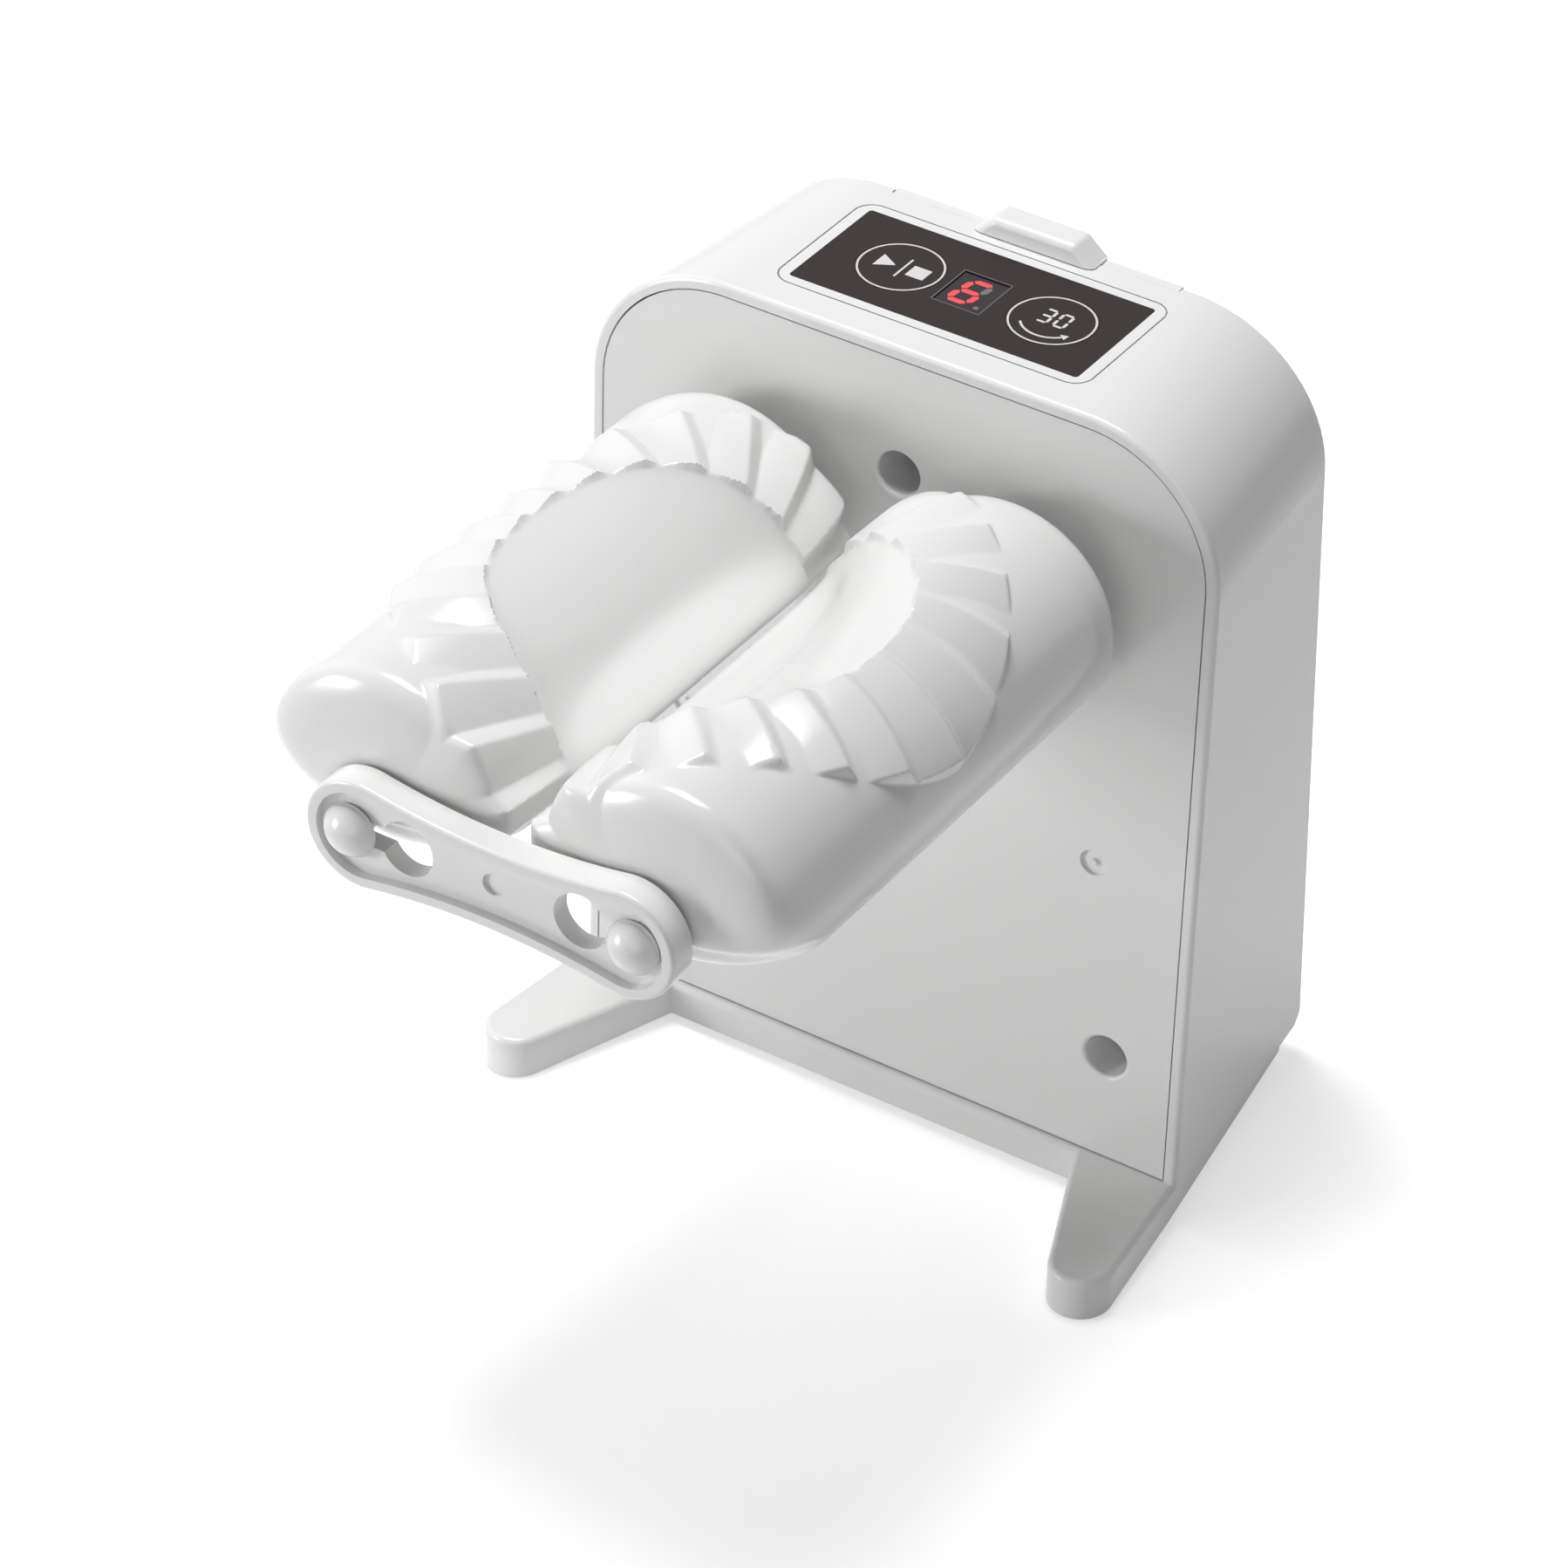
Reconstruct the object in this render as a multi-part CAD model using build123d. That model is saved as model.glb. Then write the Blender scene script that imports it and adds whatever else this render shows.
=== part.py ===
from build123d import *
import os
from math import acos, atan, atan2, cos, degrees, exp, pi, radians, sin, sqrt, tan, tanh

os.makedirs("parts", exist_ok=True)

# An electric dumpling press, in millimetres, with +Z up and the moulds pointing to -Y.
# Lengths along Y below are counted from the plane of the housing's front rim, backwards positive.
# At export every piece moves back by SHIFT_Y, which centres the whole press on the origin.

# Housing: one moulding with its base and feet
BODY_W = 145.0            # width across the front rim
BODY_TOP = 185.2          # height of the top face
BASE_TOP = 10.2           # height of the base slab and the feet
BASE_LOW = 2.4            # underside of the base slab, from which the feet slope down to their tips
TOP_DEPTH = 51.2          # front rim to rear face, at the top
LOW_DEPTH = 66.4          # the same, at the base slab
SIDE_TAPER = 0.114        # how far each side comes in for each mm of depth
BASE_TAPER = 0.15         # the same for the base slab, under the shell
BASE_SHORT = 6.0          # rear edge of the base slab in front of the rear face
SKIRT_LOW = 8.6           # lower edge of the shell round the base slab
SKIRT_CUT = 3.5           # bevel of the shell's lower rear edge
CORNER_R = 31.1           # upper corners of the front outline
WALL = 2.65               # shell wall, which shows as the rim round the front panel
SEAM = 0.35               # gap all round an inserted panel
RIM_ROUND = 1.1           # soft edge of the front rim
REAR_ROUND = 1.6          # soft edge of the rear face
BASE_LIP = 1.8            # the base slab stands this far in front of the rim
FOOT_ROOT_X = 49.6        # inner edge of a foot where it leaves the base
FOOT_TIP_X = 69.0         # centre of a foot's round tip
FOOT_TIP_Y = -31.0
FOOT_TIP_R = 6.9
FOOT_ROUND = 1.3          # soft top edge of the feet and the base

# Rubber feet
PAD_R = 4.4
PAD_T = 1.7
PAD_PROUD = 0.6           # the pads lift the base off the table by this
PAD_REAR_X = 56.0
PAD_REAR_Y = 50.0
PAD_WALL = 1.6            # ring of plastic round a pad

# Front panel and its screws
PANEL_SET = 0.1           # panel face behind the rim
PANEL_T = 2.6
TOP_SCREW_RISE = 15.8     # centre screw above the roller axes
LOW_SCREW_X = 54.4
LOW_SCREW_Z = 35.6
SCREW_WELL_R = 4.8        # well that the screw head sits in
SCREW_WELL_END = 12.0     # depth of the well's floor
SCREW_BOSS_R = 6.7
SCREW_SEAT = 2.0          # floor thickness under a screw head
SCREW_R = 1.75
SCREW_HEAD_R = 3.2
SCREW_HEAD_T = 2.2
SCREW_BITE = 12.0         # thread length in the housing post
POST_R = 4.4
DIMPLE_X = 48.8           # moulding mark in the panel
DIMPLE_Z = 82.2
DIMPLE_R = 3.0
MOUTH_ROUND = 0.9         # rounded lip of the screw wells

# Fits
RUN = 0.03                # radial clearance of a running shaft
FIT = 0.02                # radial clearance of pieces fixed together
GAP = 0.2                 # gap between flat faces that move past each other

# Rollers: two drive shafts, joined by a train of spur gears behind the front panel
AXIS_SPACING = 63.0
AXIS_DROP = 44.7          # roller axes below the housing's top face
OUT_TEETH = 31
IDLER_TEETH = 16
SMALL_TEETH = 14          # small wheel of the reduction gear, in mesh with the left output gear
BIG_TEETH = 33            # its big wheel, in mesh with the motor pinion
PINION_TEETH = 12
MODULE = AXIS_SPACING / (OUT_TEETH + 2 * IDLER_TEETH)
PRESSURE = 25.0
ADDENDUM = 0.9            # in modules
DEDENDUM = 1.15
BACKLASH = 0.16
GEAR_A = (6.2, 13.2)      # front and rear faces of the output gears, idlers and small wheel
GEAR_B = (14.6, 19.4)     # front and rear faces of the big wheel and the pinion
SHAFT_R = 4.0
SHAFT_END = 25.8
SHAFT_FLAT = 3.2          # distance of the gear flat from the shaft axis
HEX_FLATS = 6.9           # hexagon of the shaft that drives a mould
HEX_FIT = 0.1
HEX_TIP = -34.0
HEX_ROOT = -2.4
BUSH_R = 6.0
BUSH_FLANGE_R = 7.6
BUSH_FLANGE_T = 0.5
BUSH_BOSS_R = 9.0
BUSH_BOSS_END = 5.4
SEAL_R = 8.0
SEAL_T = 2.0
PIN_R = 2.0
PIN_BOSS_R = 4.0
PIN_SINK = 0.9            # depth of a gear pin in the panel
PIN_HUB_R = 3.6           # hub that keeps an idler clear of the gear plate
OUT_HUB_R = 4.85          # the same on an output gear, past the big wheel's teeth
CLIP_GROOVE_R = 3.3
CLIP_R = 5.6
CLIP_T = 0.7
CLIP_Y = 24.0
CLIP_MOUTH = 5.0

# Gear plate behind the gears
PLATE_Y = 21.0
PLATE_T = 2.0
PLATE_HALF_W = 57.0
PLATE_DOWN = 30.7         # edges of the plate below and above the roller axes
PLATE_UP = 27.3
PLATE_CORNER = 7.0
PILLAR_R = 4.0
PILLAR_LOW_X = 51.0
PILLAR_LOW_DOWN = 22.7
PILLAR_HIGH_X = 49.0
PILLAR_HIGH_UP = 19.8
PLATE_SCREW_R = 1.3
PLATE_SCREW_L = 8.0
PLATE_SCREW_HEAD_R = 2.6
PLATE_SCREW_HEAD_T = 1.6

# Gearmotor, a bought-in unit behind the gear plate
MOTOR_CASE_W = 32.0
MOTOR_CASE_H = 46.0
MOTOR_CASE_D = 22.0
MOTOR_COVER_T = 3.0
MOTOR_CASE_OVER = 9.0     # case above the output shaft
MOTOR_CASE_WALL = 2.0
MOTOR_SHAFT_R = 3.0
MOTOR_SHAFT_FLAT = 2.5
MOTOR_NOSE_R = 7.0
MOTOR_CAN_R = 12.2
MOTOR_CAN_L = 29.0
MOTOR_CAP_R = 11.0
MOTOR_CAP_T = 2.0
TERMINAL = (0.6, 2.6, 4.0)
TERMINAL_X = 6.0
MOTOR_SCREW_X = 11.0
MOTOR_SCREW_DROPS = (13.0, 32.0)   # screw rows below the output shaft

# Moulds: a round core with a half-dumpling bowl and a pleated band
# Angles are taken about the roller axis from straight up, positive towards the nip.
MOULD_REAR = -8.0
MOULD_FRONT = -132.7
CORE_R = 24.5
CORE_MORE = 4.6           # the core is larger by this on its upper side, and smaller below
CORE_TURN = -10.0         # its fullest side
CORE_FLAT = 1.0           # how evenly the fuller side spreads
BAND_R = 28.5             # radius on which the bowl's outline is laid out
NIP_GAP = 0.4             # highest point of a mould to the middle plane
LIP_ANGLE = 80.0          # the bowl's straight lip, along the nip
LIP_W = 7.0
LIP_BACK = 4.0            # how fast the lip falls to the core on the nip side
RIDGE_R = 30.9            # ridges of the band and the lip
RIM_DROP = 1.2            # the bowl's curved edge below the lip
BOWL_MID = -70.0
BOWL_HALF_L = 40.5
BOWL_REACH = 47.4         # lip to the bowl's far edge, along the surface
BOWL_POWER = 2.3          # a fuller outline than an ellipse
BOWL_DEPTH = 9.5
BAND_HALF_L = 70.2        # the band runs off both ends near the nip
BAND_REACH = 74.7
BAND_POWER = 1.48         # a leaner outline than an ellipse
BAND_END_L = 4.5          # the band's own front end rounds off over this length
BAND_END_N = 3.0
WALL_SLOPE = 1.3          # of the wall that ends the band
PLEAT_LOW = 1.2           # depth of the pleats at the bowl
PLEAT_HIGH = 2.4          # depth of the pleats at the band's outer edge
PLEATS = 15               # over half a turn round the bowl
PLEAT_RISE = 0.72         # share of a pleat that climbs
PLEAT_START = 2.0         # degrees
FRONT_TOP_L = 7.0         # the front end rounds off over this length on the bowl's side
FRONT_LOW_L = 26.0        # and over this length below
FRONT_TOP_N = 3.2         # powers of the rounding: square-shouldered above, domed below
FRONT_LOW_N = 1.4
FRONT_SIDES = 3.5         # how sharply the upper rounding turns into the lower one
FRONT_LEAST = 4.0         # least radius, where the neck leaves the front end
REAR_L = 12.0             # the rear end draws in over this length
REAR_DROP = 5.5           # by this much on the bowl's side
MOULD_HUB_R = 8.5
MOULD_HOLLOW_R = 16.5
MOULD_HOLLOW_END = -107.0
MOULD_RIB_T = 2.0         # four ribs between hub and shell

# Heads of the moulds and the link bar that holds them
NECK_R = 2.65
HEAD_R = 5.6
HEAD_BACK = -138.3
HEAD_TIP = -142.9
HEAD_SPHERE_R = 6.4
BAR_BACK = -133.7
BAR_WEB = -138.0
BAR_RIM = -140.0
BAR_END_X = 29.3          # centres of the bar's round ends
BAR_END_R = 11.7
BAR_WAIST = 9.0           # half height at the middle
BAR_RIM_W = 2.5
BAR_RIM_ROUND = 0.9
KEYHOLE_X = 19.3
KEYHOLE_R = 5.85
SLOT_FIT = 0.1
MARK_R = 2.35             # round moulding mark at the bar's middle
MARK_DEEP = 0.9

# Control panel in the top of the housing
CONTROL_BACK = -0.1       # panel's centre behind the middle of the housing's top
BEZEL_W = 71.0
BEZEL_D = 34.9
BEZEL_CORNER = 4.0
BEZEL_SINK = 1.5          # thickness of the bezel's flange
BEZEL_T = 2.4
BEZEL_STEP = 2.6          # width of the flange
LABEL_W = 66.0
LABEL_D = 30.2
LABEL_T = 0.5
LABEL_CORNER = 0.8
LABEL_FIT = 0.05
KEY_X = 17.4              # half the distance between the keys
KEY_MID_X = 1.0           # the keys sit a little to the right
KEY_R = 9.25
KEY_FIT = 0.06
KEY_TRAVEL = 0.3
KEY_ROOM = 0.5            # depth of the hollow under a key face
STEM_R = 3.0
STEM_HOLE_R = 3.2
STEM_TIP_R = 1.6
SWITCH_W = 6.0
SWITCH_H = 3.5
SWITCH_BORE_R = 1.7
SWITCH_GAP = 0.7          # stem shoulder above the switch body
WINDOW_W = 10.2
WINDOW_D = 12.2
DISPLAY_FIT = 0.1
BOARD_DROP = 9.2          # board's top face below the housing's top face
BOARD_T = 1.6
BOARD_W = 64.0
BOARD_D = 27.0
BOARD_POST_X = 28.5
BOARD_POST_Y = 10.5
BOARD_POST_R = 2.6
BOARD_SCREW_R = 1.0
BOARD_SCREW_HEAD_R = 1.9
BOARD_SCREW_HEAD_T = 1.2
BOARD_SCREW_BITE = 5.0
HOOK_X = 22.0
HOOK_W = 7.0
HOOK_T = 1.2
HOOK_BARB = 0.8

# Rear battery door and battery pocket, measured in the plane of the leaning rear face
DOOR_W = 66.0
DOOR_LEN = 84.0
DOOR_T = 2.0
DOOR_GAP = 0.25
DOOR_LIP_W = 28.0         # raised thumb lip over the top edge
DOOR_LIP_TOP_W = 18.6
DOOR_LIP_X = 1.5
DOOR_LIP_H = 4.3
DOOR_LIP_L = 5.8
DOOR_LIP_OVER = 1.6       # the lip stands out behind the door's face
DOOR_LIP_ROUND = 1.7
TONGUE_X = 20.0
TONGUE_W = 9.0
TONGUE_T = 1.5
TONGUE_DOWN = 2.6
TONGUE_UP = 6.0
TONGUE_SKIN = 1.8
CELL_R = 7.15
CELL_L = 49.0
CELL_NUB_R = 2.7
CELL_NUB_L = 1.0
CELL_PITCH = 14.8
CELLS = 4
CONTACT_T = 0.4
CONTACT_W = 11.0
SPRING_R = 3.4
SPRING_L = 3.5
POCKET_TOP = -14.0        # upper end of the pocket, below the top edge
POCKET_ROOM = 0.2
POCKET_WALL = 2.0

# Wires
WIRE_R = 0.8
WIRE_BEND = 6.0
WIRE_STEP = 3.2           # between the two wires
WIRE_RUN_X = 24.0
WIRE_LOW_BACK = 1.0       # front wire under the motor, behind the gear plate
WIRE_HIGH_BACK = 5.2      # both wires above the motor, between the gear plate and the battery pocket

# Places worked out from the sizes above
LEAN = degrees(atan((LOW_DEPTH - TOP_DEPTH) / (BODY_TOP - BASE_TOP)))
REAR_NORMAL = (0, cos(radians(LEAN)), sin(radians(LEAN)))
REAR = Plane(origin=(0, TOP_DEPTH, BODY_TOP), x_dir=(-1, 0, 0), z_dir=REAR_NORMAL)
BODY_REAR = TOP_DEPTH + (BODY_TOP - SKIRT_LOW - SKIRT_CUT) * tan(radians(LEAN))
SHIFT_Y = (-HEAD_TIP - BODY_REAR) / 2
HALF_S = AXIS_SPACING / 2
AXIS_Z = BODY_TOP - AXIS_DROP
TOP_SCREW_Z = AXIS_Z + TOP_SCREW_RISE
PLATE_LOW = AXIS_Z - PLATE_DOWN
PLATE_TOP = AXIS_Z + PLATE_UP
PILLAR_LOW_Z = AXIS_Z - PILLAR_LOW_DOWN
PILLAR_HIGH_Z = AXIS_Z + PILLAR_HIGH_UP
PILLARS = ((-PILLAR_LOW_X, PILLAR_LOW_Z), (PILLAR_LOW_X, PILLAR_LOW_Z)) + (
    (-PILLAR_HIGH_X, PILLAR_HIGH_Z), (PILLAR_HIGH_X, PILLAR_HIGH_Z))
CONTROL_Y = TOP_DEPTH / 2 + CONTROL_BACK
IDLER_X = MODULE * IDLER_TEETH / 2
PANEL_BACK = PANEL_SET + PANEL_T
TOOTH_STEP = 360 / OUT_TEETH
TRAIN_TURN = -TOOTH_STEP * round(58 / TOOTH_STEP)
REDUCTION_GAP = MODULE * (OUT_TEETH + SMALL_TEETH) / 2
REDUCTION_X = -HALF_S + REDUCTION_GAP * cos(radians(TRAIN_TURN))
REDUCTION_Z = AXIS_Z + REDUCTION_GAP * sin(radians(TRAIN_TURN))
PINION_Z = REDUCTION_Z - MODULE * (BIG_TEETH + PINION_TEETH) / 2
PLATE_BACK = PLATE_Y + PLATE_T
MOTOR_CASE_TOP = PINION_Z + MOTOR_CASE_OVER
MOTOR_CASE_LOW = MOTOR_CASE_TOP - MOTOR_CASE_H
MOTOR_CASE_BACK = PLATE_BACK + MOTOR_CASE_D
MOTOR_MID_Y = PLATE_BACK + (MOTOR_CASE_D + MOTOR_COVER_T) / 2
MOTOR_CAN_LOW = MOTOR_CASE_LOW - MOTOR_CAN_L
POCKET_LEN = CELL_L + CELL_NUB_L + SPRING_L + 2 * CONTACT_T + POCKET_ROOM
POCKET_LOW = POCKET_TOP - POCKET_LEN
POCKET_W = CELLS * CELL_PITCH + 2 * POCKET_ROOM
RECESS = DOOR_T + DOOR_GAP
CELL_N = -RECESS - POCKET_ROOM - CELL_R
POCKET_DEEP = CELL_N - CELL_R - POCKET_ROOM
BOARD_TOP = BODY_TOP - BOARD_DROP
BOARD_LOW = BOARD_TOP - BOARD_T
KEY_LOW = BODY_TOP - LABEL_T
MOULD_TOP_R = HALF_S - NIP_GAP
LABEL_TOP = BODY_TOP


def slab(sketch, front, back):
    """A flat outline drawn in X and Z, given thickness along Y."""
    plane = Plane(origin=(0, back, 0), x_dir=(1, 0, 0), z_dir=(0, -1, 0))
    return extrude(plane * sketch, amount=back - front)


def rod(x, z, radius, front, back):
    """A round bar along Y."""
    return slab(Pos(x, z) * Circle(radius), front, back)


def post(x, y, radius, low, high):
    """A round bar along Z."""
    return Pos(x, y, (low + high) / 2) * Cylinder(radius, high - low)


def block(x, y, z):
    """A box between two corners, each given as a pair of low and high."""
    size = (x[1] - x[0], y[1] - y[0], z[1] - z[0])
    return Pos((x[0] + x[1]) / 2, (y[0] + y[1]) / 2, (z[0] + z[1]) / 2) * Box(*size)


def rear_block(width, low, high, deep, out, x=0.0):
    """A box set in the leaning rear plane: up the slope, and outwards from the face."""
    return REAR * Pos(-x, (low + high) / 2, (deep + out) / 2) * Box(width, high - low, out - deep)


def save(name, shape):
    """Move a piece to the press's own origin and write it."""
    placed = Pos(0, SHIFT_Y, 0) * shape
    solids = placed.solids()
    placed = solids[0] if len(solids) == 1 else Compound(children=list(solids))
    placed.label = name
    export_step(placed, f"parts/{name}.step")


def arch(inset, y, low):
    """The front outline, set in by a wall, at a depth where the tapering sides are nearer."""
    half = BODY_W / 2 - inset - SIDE_TAPER * y
    top = BODY_TOP - inset
    outline = Pos(0, (low + top) / 2) * Rectangle(2 * half, top - low)
    outline = fillet(outline.vertices().group_by(Axis.Y)[-1], CORNER_R - inset)
    return Plane(origin=(0, y, 0), x_dir=(1, 0, 0), z_dir=(0, -1, 0)) * outline


def arch_solid(inset, front, back, low):
    """A tapering block with the front outline, between two depths."""
    return loft([arch(inset, front, low), arch(inset, back, low)], ruled=True)


def base_outline():
    """Plan of the base slab with both feet."""
    side_front = BODY_W / 2 + SIDE_TAPER * BASE_LIP
    deep = LOW_DEPTH - BASE_SHORT
    side_rear = side_front - BASE_TAPER * (deep + BASE_LIP)
    corners = [(-side_front, -BASE_LIP), (side_front, -BASE_LIP), (side_rear, deep), (-side_rear, deep)]
    slab_plan = make_face(Polyline(*corners, close=True))
    tip = Pos(FOOT_TIP_X, FOOT_TIP_Y) * Circle(FOOT_TIP_R)
    root = Line((FOOT_ROOT_X, -BASE_LIP), (side_front, -BASE_LIP))
    foot = make_hull([tip.edge(), root])
    return slab_plan + foot + mirror(foot, about=Plane.YZ)


def pad_places():
    """Centres of the four rubber feet."""
    return [(sx * x, y) for x, y in ((FOOT_TIP_X, FOOT_TIP_Y), (PAD_REAR_X, PAD_REAR_Y)) for sx in (-1, 1)]


def make_base():
    """Base slab and feet, hollow from below, with seats for the rubber feet."""
    plan = base_outline()
    tip_y = FOOT_TIP_Y - FOOT_TIP_R
    below = [(tip_y, -1), (tip_y, PAD_PROUD), (-BASE_LIP, BASE_LOW), (LOW_DEPTH, BASE_LOW), (LOW_DEPTH, -1)]
    below = extrude(Plane.YZ * make_face(Polyline(*below, close=True)), amount=BODY_W, both=True)
    base = extrude(Pos(0, 0, PAD_PROUD) * plan, amount=BASE_TOP - PAD_PROUD)
    front_edges = [e for e in base.edges().group_by(Axis.Z)[-1] if e.center().Y < -BASE_LIP / 2]
    base = fillet(front_edges, FOOT_ROUND)
    hollow = extrude(offset(plan, amount=-WALL), amount=BASE_TOP - WALL)
    base = base - hollow - below
    for x, y in pad_places():
        base += post(x, y, PAD_R + PAD_WALL, PAD_PROUD, BASE_TOP - WALL / 2)
        base -= post(x, y, PAD_R + FIT, -1, PAD_T)
    return base


def front_screw_places():
    """Centres of the three screws through the front panel."""
    return [(0, TOP_SCREW_Z), (-LOW_SCREW_X, LOW_SCREW_Z), (LOW_SCREW_X, LOW_SCREW_Z)]


def make_housing():
    """Shell, base and feet, with the battery pocket, screw posts and control opening."""
    deep = LOW_DEPTH + WALL
    behind = rear_block(2 * BODY_W, -2 * BODY_TOP, BODY_TOP, 0, BODY_TOP)
    shell = arch_solid(0, 0, deep, SKIRT_LOW) - behind
    bevel_top = SKIRT_LOW + SKIRT_CUT
    bevel = [(BODY_REAR - SKIRT_CUT, SKIRT_LOW), (BODY_REAR, bevel_top), (BODY_REAR + WALL, SKIRT_LOW)]
    shell -= extrude(Plane.YZ * make_face(Polyline(*bevel, close=True)), amount=BODY_W, both=True)
    rim = shell.edges().filter_by(lambda e: abs(e.center().Y) < 1e-3 and e.center().Z > BASE_TOP)
    shell = fillet(rim, RIM_ROUND)
    rear = shell.faces().filter_by(lambda f: f.center().Y > TOP_DEPTH).sort_by(SortBy.AREA)[-1]
    rear = [e for e in rear.edges() if e.center().Z > BODY_TOP / 4]
    shell = fillet(rear, REAR_ROUND)
    inside = arch_solid(WALL, -1, deep, BASE_TOP)
    inside -= rear_block(2 * BODY_W, -2 * BODY_TOP, BODY_TOP, -WALL, BODY_TOP)
    shell = shell - inside + make_base()

    # Thick pad behind the door and walls of the battery pocket
    pad_top = -WALL / 2
    shell += rear_block(DOOR_W + 4 * WALL, -DOOR_LEN - 2 * WALL, pad_top, -RECESS - WALL, -WALL / 2)
    shell += rear_block(
        POCKET_W + 2 * POCKET_WALL, POCKET_LOW - POCKET_WALL, POCKET_TOP + POCKET_WALL,
        POCKET_DEEP - POCKET_WALL, -RECESS - WALL / 2)
    # Posts for the panel screws, from the rear wall and from the pocket
    post_front = SCREW_WELL_END + SCREW_SEAT
    for x, z in front_screw_places():
        wall = TOP_DEPTH if z > BODY_TOP / 2 else LOW_DEPTH
        column = rod(x, z, POST_R, post_front, wall)
        root = POCKET_DEEP if x == 0 else 0
        column -= rear_block(2 * BODY_W, -2 * BODY_TOP, BODY_TOP, root - WALL / 2, BODY_TOP)
        column -= rod(x, z, SCREW_R + FIT, post_front - 1, post_front + SCREW_BITE)
        shell += column

    shell -= rear_block(DOOR_W + 2 * DOOR_GAP, -DOOR_LEN - DOOR_GAP, WALL, -RECESS, WALL)
    shell -= rear_block(POCKET_W, POCKET_LOW, POCKET_TOP, POCKET_DEEP, WALL)
    for side in (-1, 1):
        slot_w = TONGUE_W + 2 * DOOR_GAP
        slot_low = -DOOR_LEN - TONGUE_DOWN - 3 * DOOR_GAP
        slot_top = -DOOR_LEN + TONGUE_UP + TONGUE_DOWN
        shell -= rear_block(slot_w, slot_low, slot_top, -4 * WALL, -TONGUE_SKIN, side * TONGUE_X)

    # Stepped opening for the control bezel
    opening = RectangleRounded(BEZEL_W + 2 * SEAM, BEZEL_D + 2 * SEAM, BEZEL_CORNER + SEAM)
    shell -= extrude(Pos(0, CONTROL_Y, BODY_TOP - BEZEL_SINK) * opening, amount=2 * WALL)
    through = Rectangle(BEZEL_W - 2 * BEZEL_STEP, BEZEL_D - 2 * BEZEL_STEP)
    shell -= extrude(Pos(0, CONTROL_Y, BODY_TOP - 2 * WALL) * through, amount=4 * WALL)
    return shell


def make_front_panel():
    """Insert that closes the front: carries the shaft bushes, gear pins and pillars."""
    inset = WALL + SEAM
    panel = arch_solid(inset, PANEL_SET, PANEL_BACK, BASE_TOP + SEAM)
    panel += [rod(s * HALF_S, AXIS_Z, BUSH_BOSS_R, PANEL_BACK, BUSH_BOSS_END) for s in (-1, 1)]
    panel += [rod(x, z, PIN_BOSS_R, PANEL_BACK, GEAR_A[0] - GAP) for x, z in pin_places()]
    panel += [rod(x, z, PILLAR_R, PANEL_BACK, PLATE_Y) for x, z in PILLARS]
    seat = SCREW_WELL_END + SCREW_SEAT
    panel += [rod(x, z, SCREW_BOSS_R, PANEL_BACK, seat) for x, z in front_screw_places()]

    for x, z in front_screw_places():
        panel -= rod(x, z, SCREW_WELL_R, 0, SCREW_WELL_END)
        panel -= rod(x, z, SCREW_R + FIT, 0, seat + 1)
    mouths = panel.edges().filter_by(GeomType.CIRCLE).filter_by(
        lambda e: abs(e.center().Y - PANEL_SET) < 1e-3 and abs(e.radius - SCREW_WELL_R) < 1e-3)
    panel = fillet(mouths, MOUTH_ROUND)
    for s in (-1, 1):
        panel -= rod(s * HALF_S, AXIS_Z, BUSH_R + FIT, 0, BUSH_BOSS_END + 1)
        mark = rod(s * DIMPLE_X, DIMPLE_Z, DIMPLE_R, 0, PANEL_SET + MARK_DEEP)
        panel -= mark - rod(s * DIMPLE_X, DIMPLE_Z, DIMPLE_R / 4, 0, PANEL_SET + MARK_DEEP)
    for x, z in pin_places():
        panel -= rod(x, z, PIN_R + FIT, PANEL_BACK - PIN_SINK, GEAR_A[0])
    for x, z in PILLARS:
        panel -= rod(x, z, PLATE_SCREW_R + FIT, PLATE_Y - PLATE_SCREW_L, PLATE_Y + 1)
    return panel


def pin_places():
    """Centres of the fixed pins that the idlers and the reduction gear turn on."""
    return [(-IDLER_X, AXIS_Z), (IDLER_X, AXIS_Z), (REDUCTION_X, REDUCTION_Z)]


def make_screw(x, z, radius, head_r, head_t, under_head, length, way):
    """A pan-head screw along Y. The way is +1 where the shank runs backwards from the head."""
    shank = sorted((under_head, under_head + way * length))
    head = sorted((under_head, under_head - way * head_t))
    screw = rod(x, z, radius, *shank) + rod(x, z, head_r, *head)
    recess = slab(Pos(x, z) * (Rectangle(head_r, head_r / 4) + Rectangle(head_r / 4, head_r)), *(
        sorted((under_head - way * head_t, under_head - way * head_t / 2))))
    return screw - recess


def tooth_half_angle(radius, teeth):
    """Half the angle that an involute tooth takes up at a radius."""
    pitch_r = MODULE * teeth / 2
    base_r = pitch_r * cos(radians(PRESSURE))
    start = pi / (2 * teeth) - BACKLASH / (4 * pitch_r) + tan(radians(PRESSURE)) - radians(PRESSURE)
    if radius <= base_r:
        return start
    turn = acos(base_r / radius)
    return start - (tan(turn) - turn)


def gear_outline(teeth, first):
    """Outline of a spur gear with a tooth centred on the angle given."""
    pitch_r = MODULE * teeth / 2
    base_r = pitch_r * cos(radians(PRESSURE))
    root_r = pitch_r - DEDENDUM * MODULE
    tip_r = pitch_r + ADDENDUM * MODULE
    flank = [root_r, max(base_r, root_r + MODULE / 5), pitch_r, (pitch_r + tip_r) / 2, tip_r]
    points = []
    for k in range(teeth):
        middle = radians(first + 360 * k / teeth)
        rising = [(r, middle - tooth_half_angle(r, teeth)) for r in flank]
        falling = [(r, middle + tooth_half_angle(r, teeth)) for r in reversed(flank)]
        points += [(r * cos(a), r * sin(a)) for r, a in rising + falling]
    return make_face(Polyline(*points, close=True))


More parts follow.
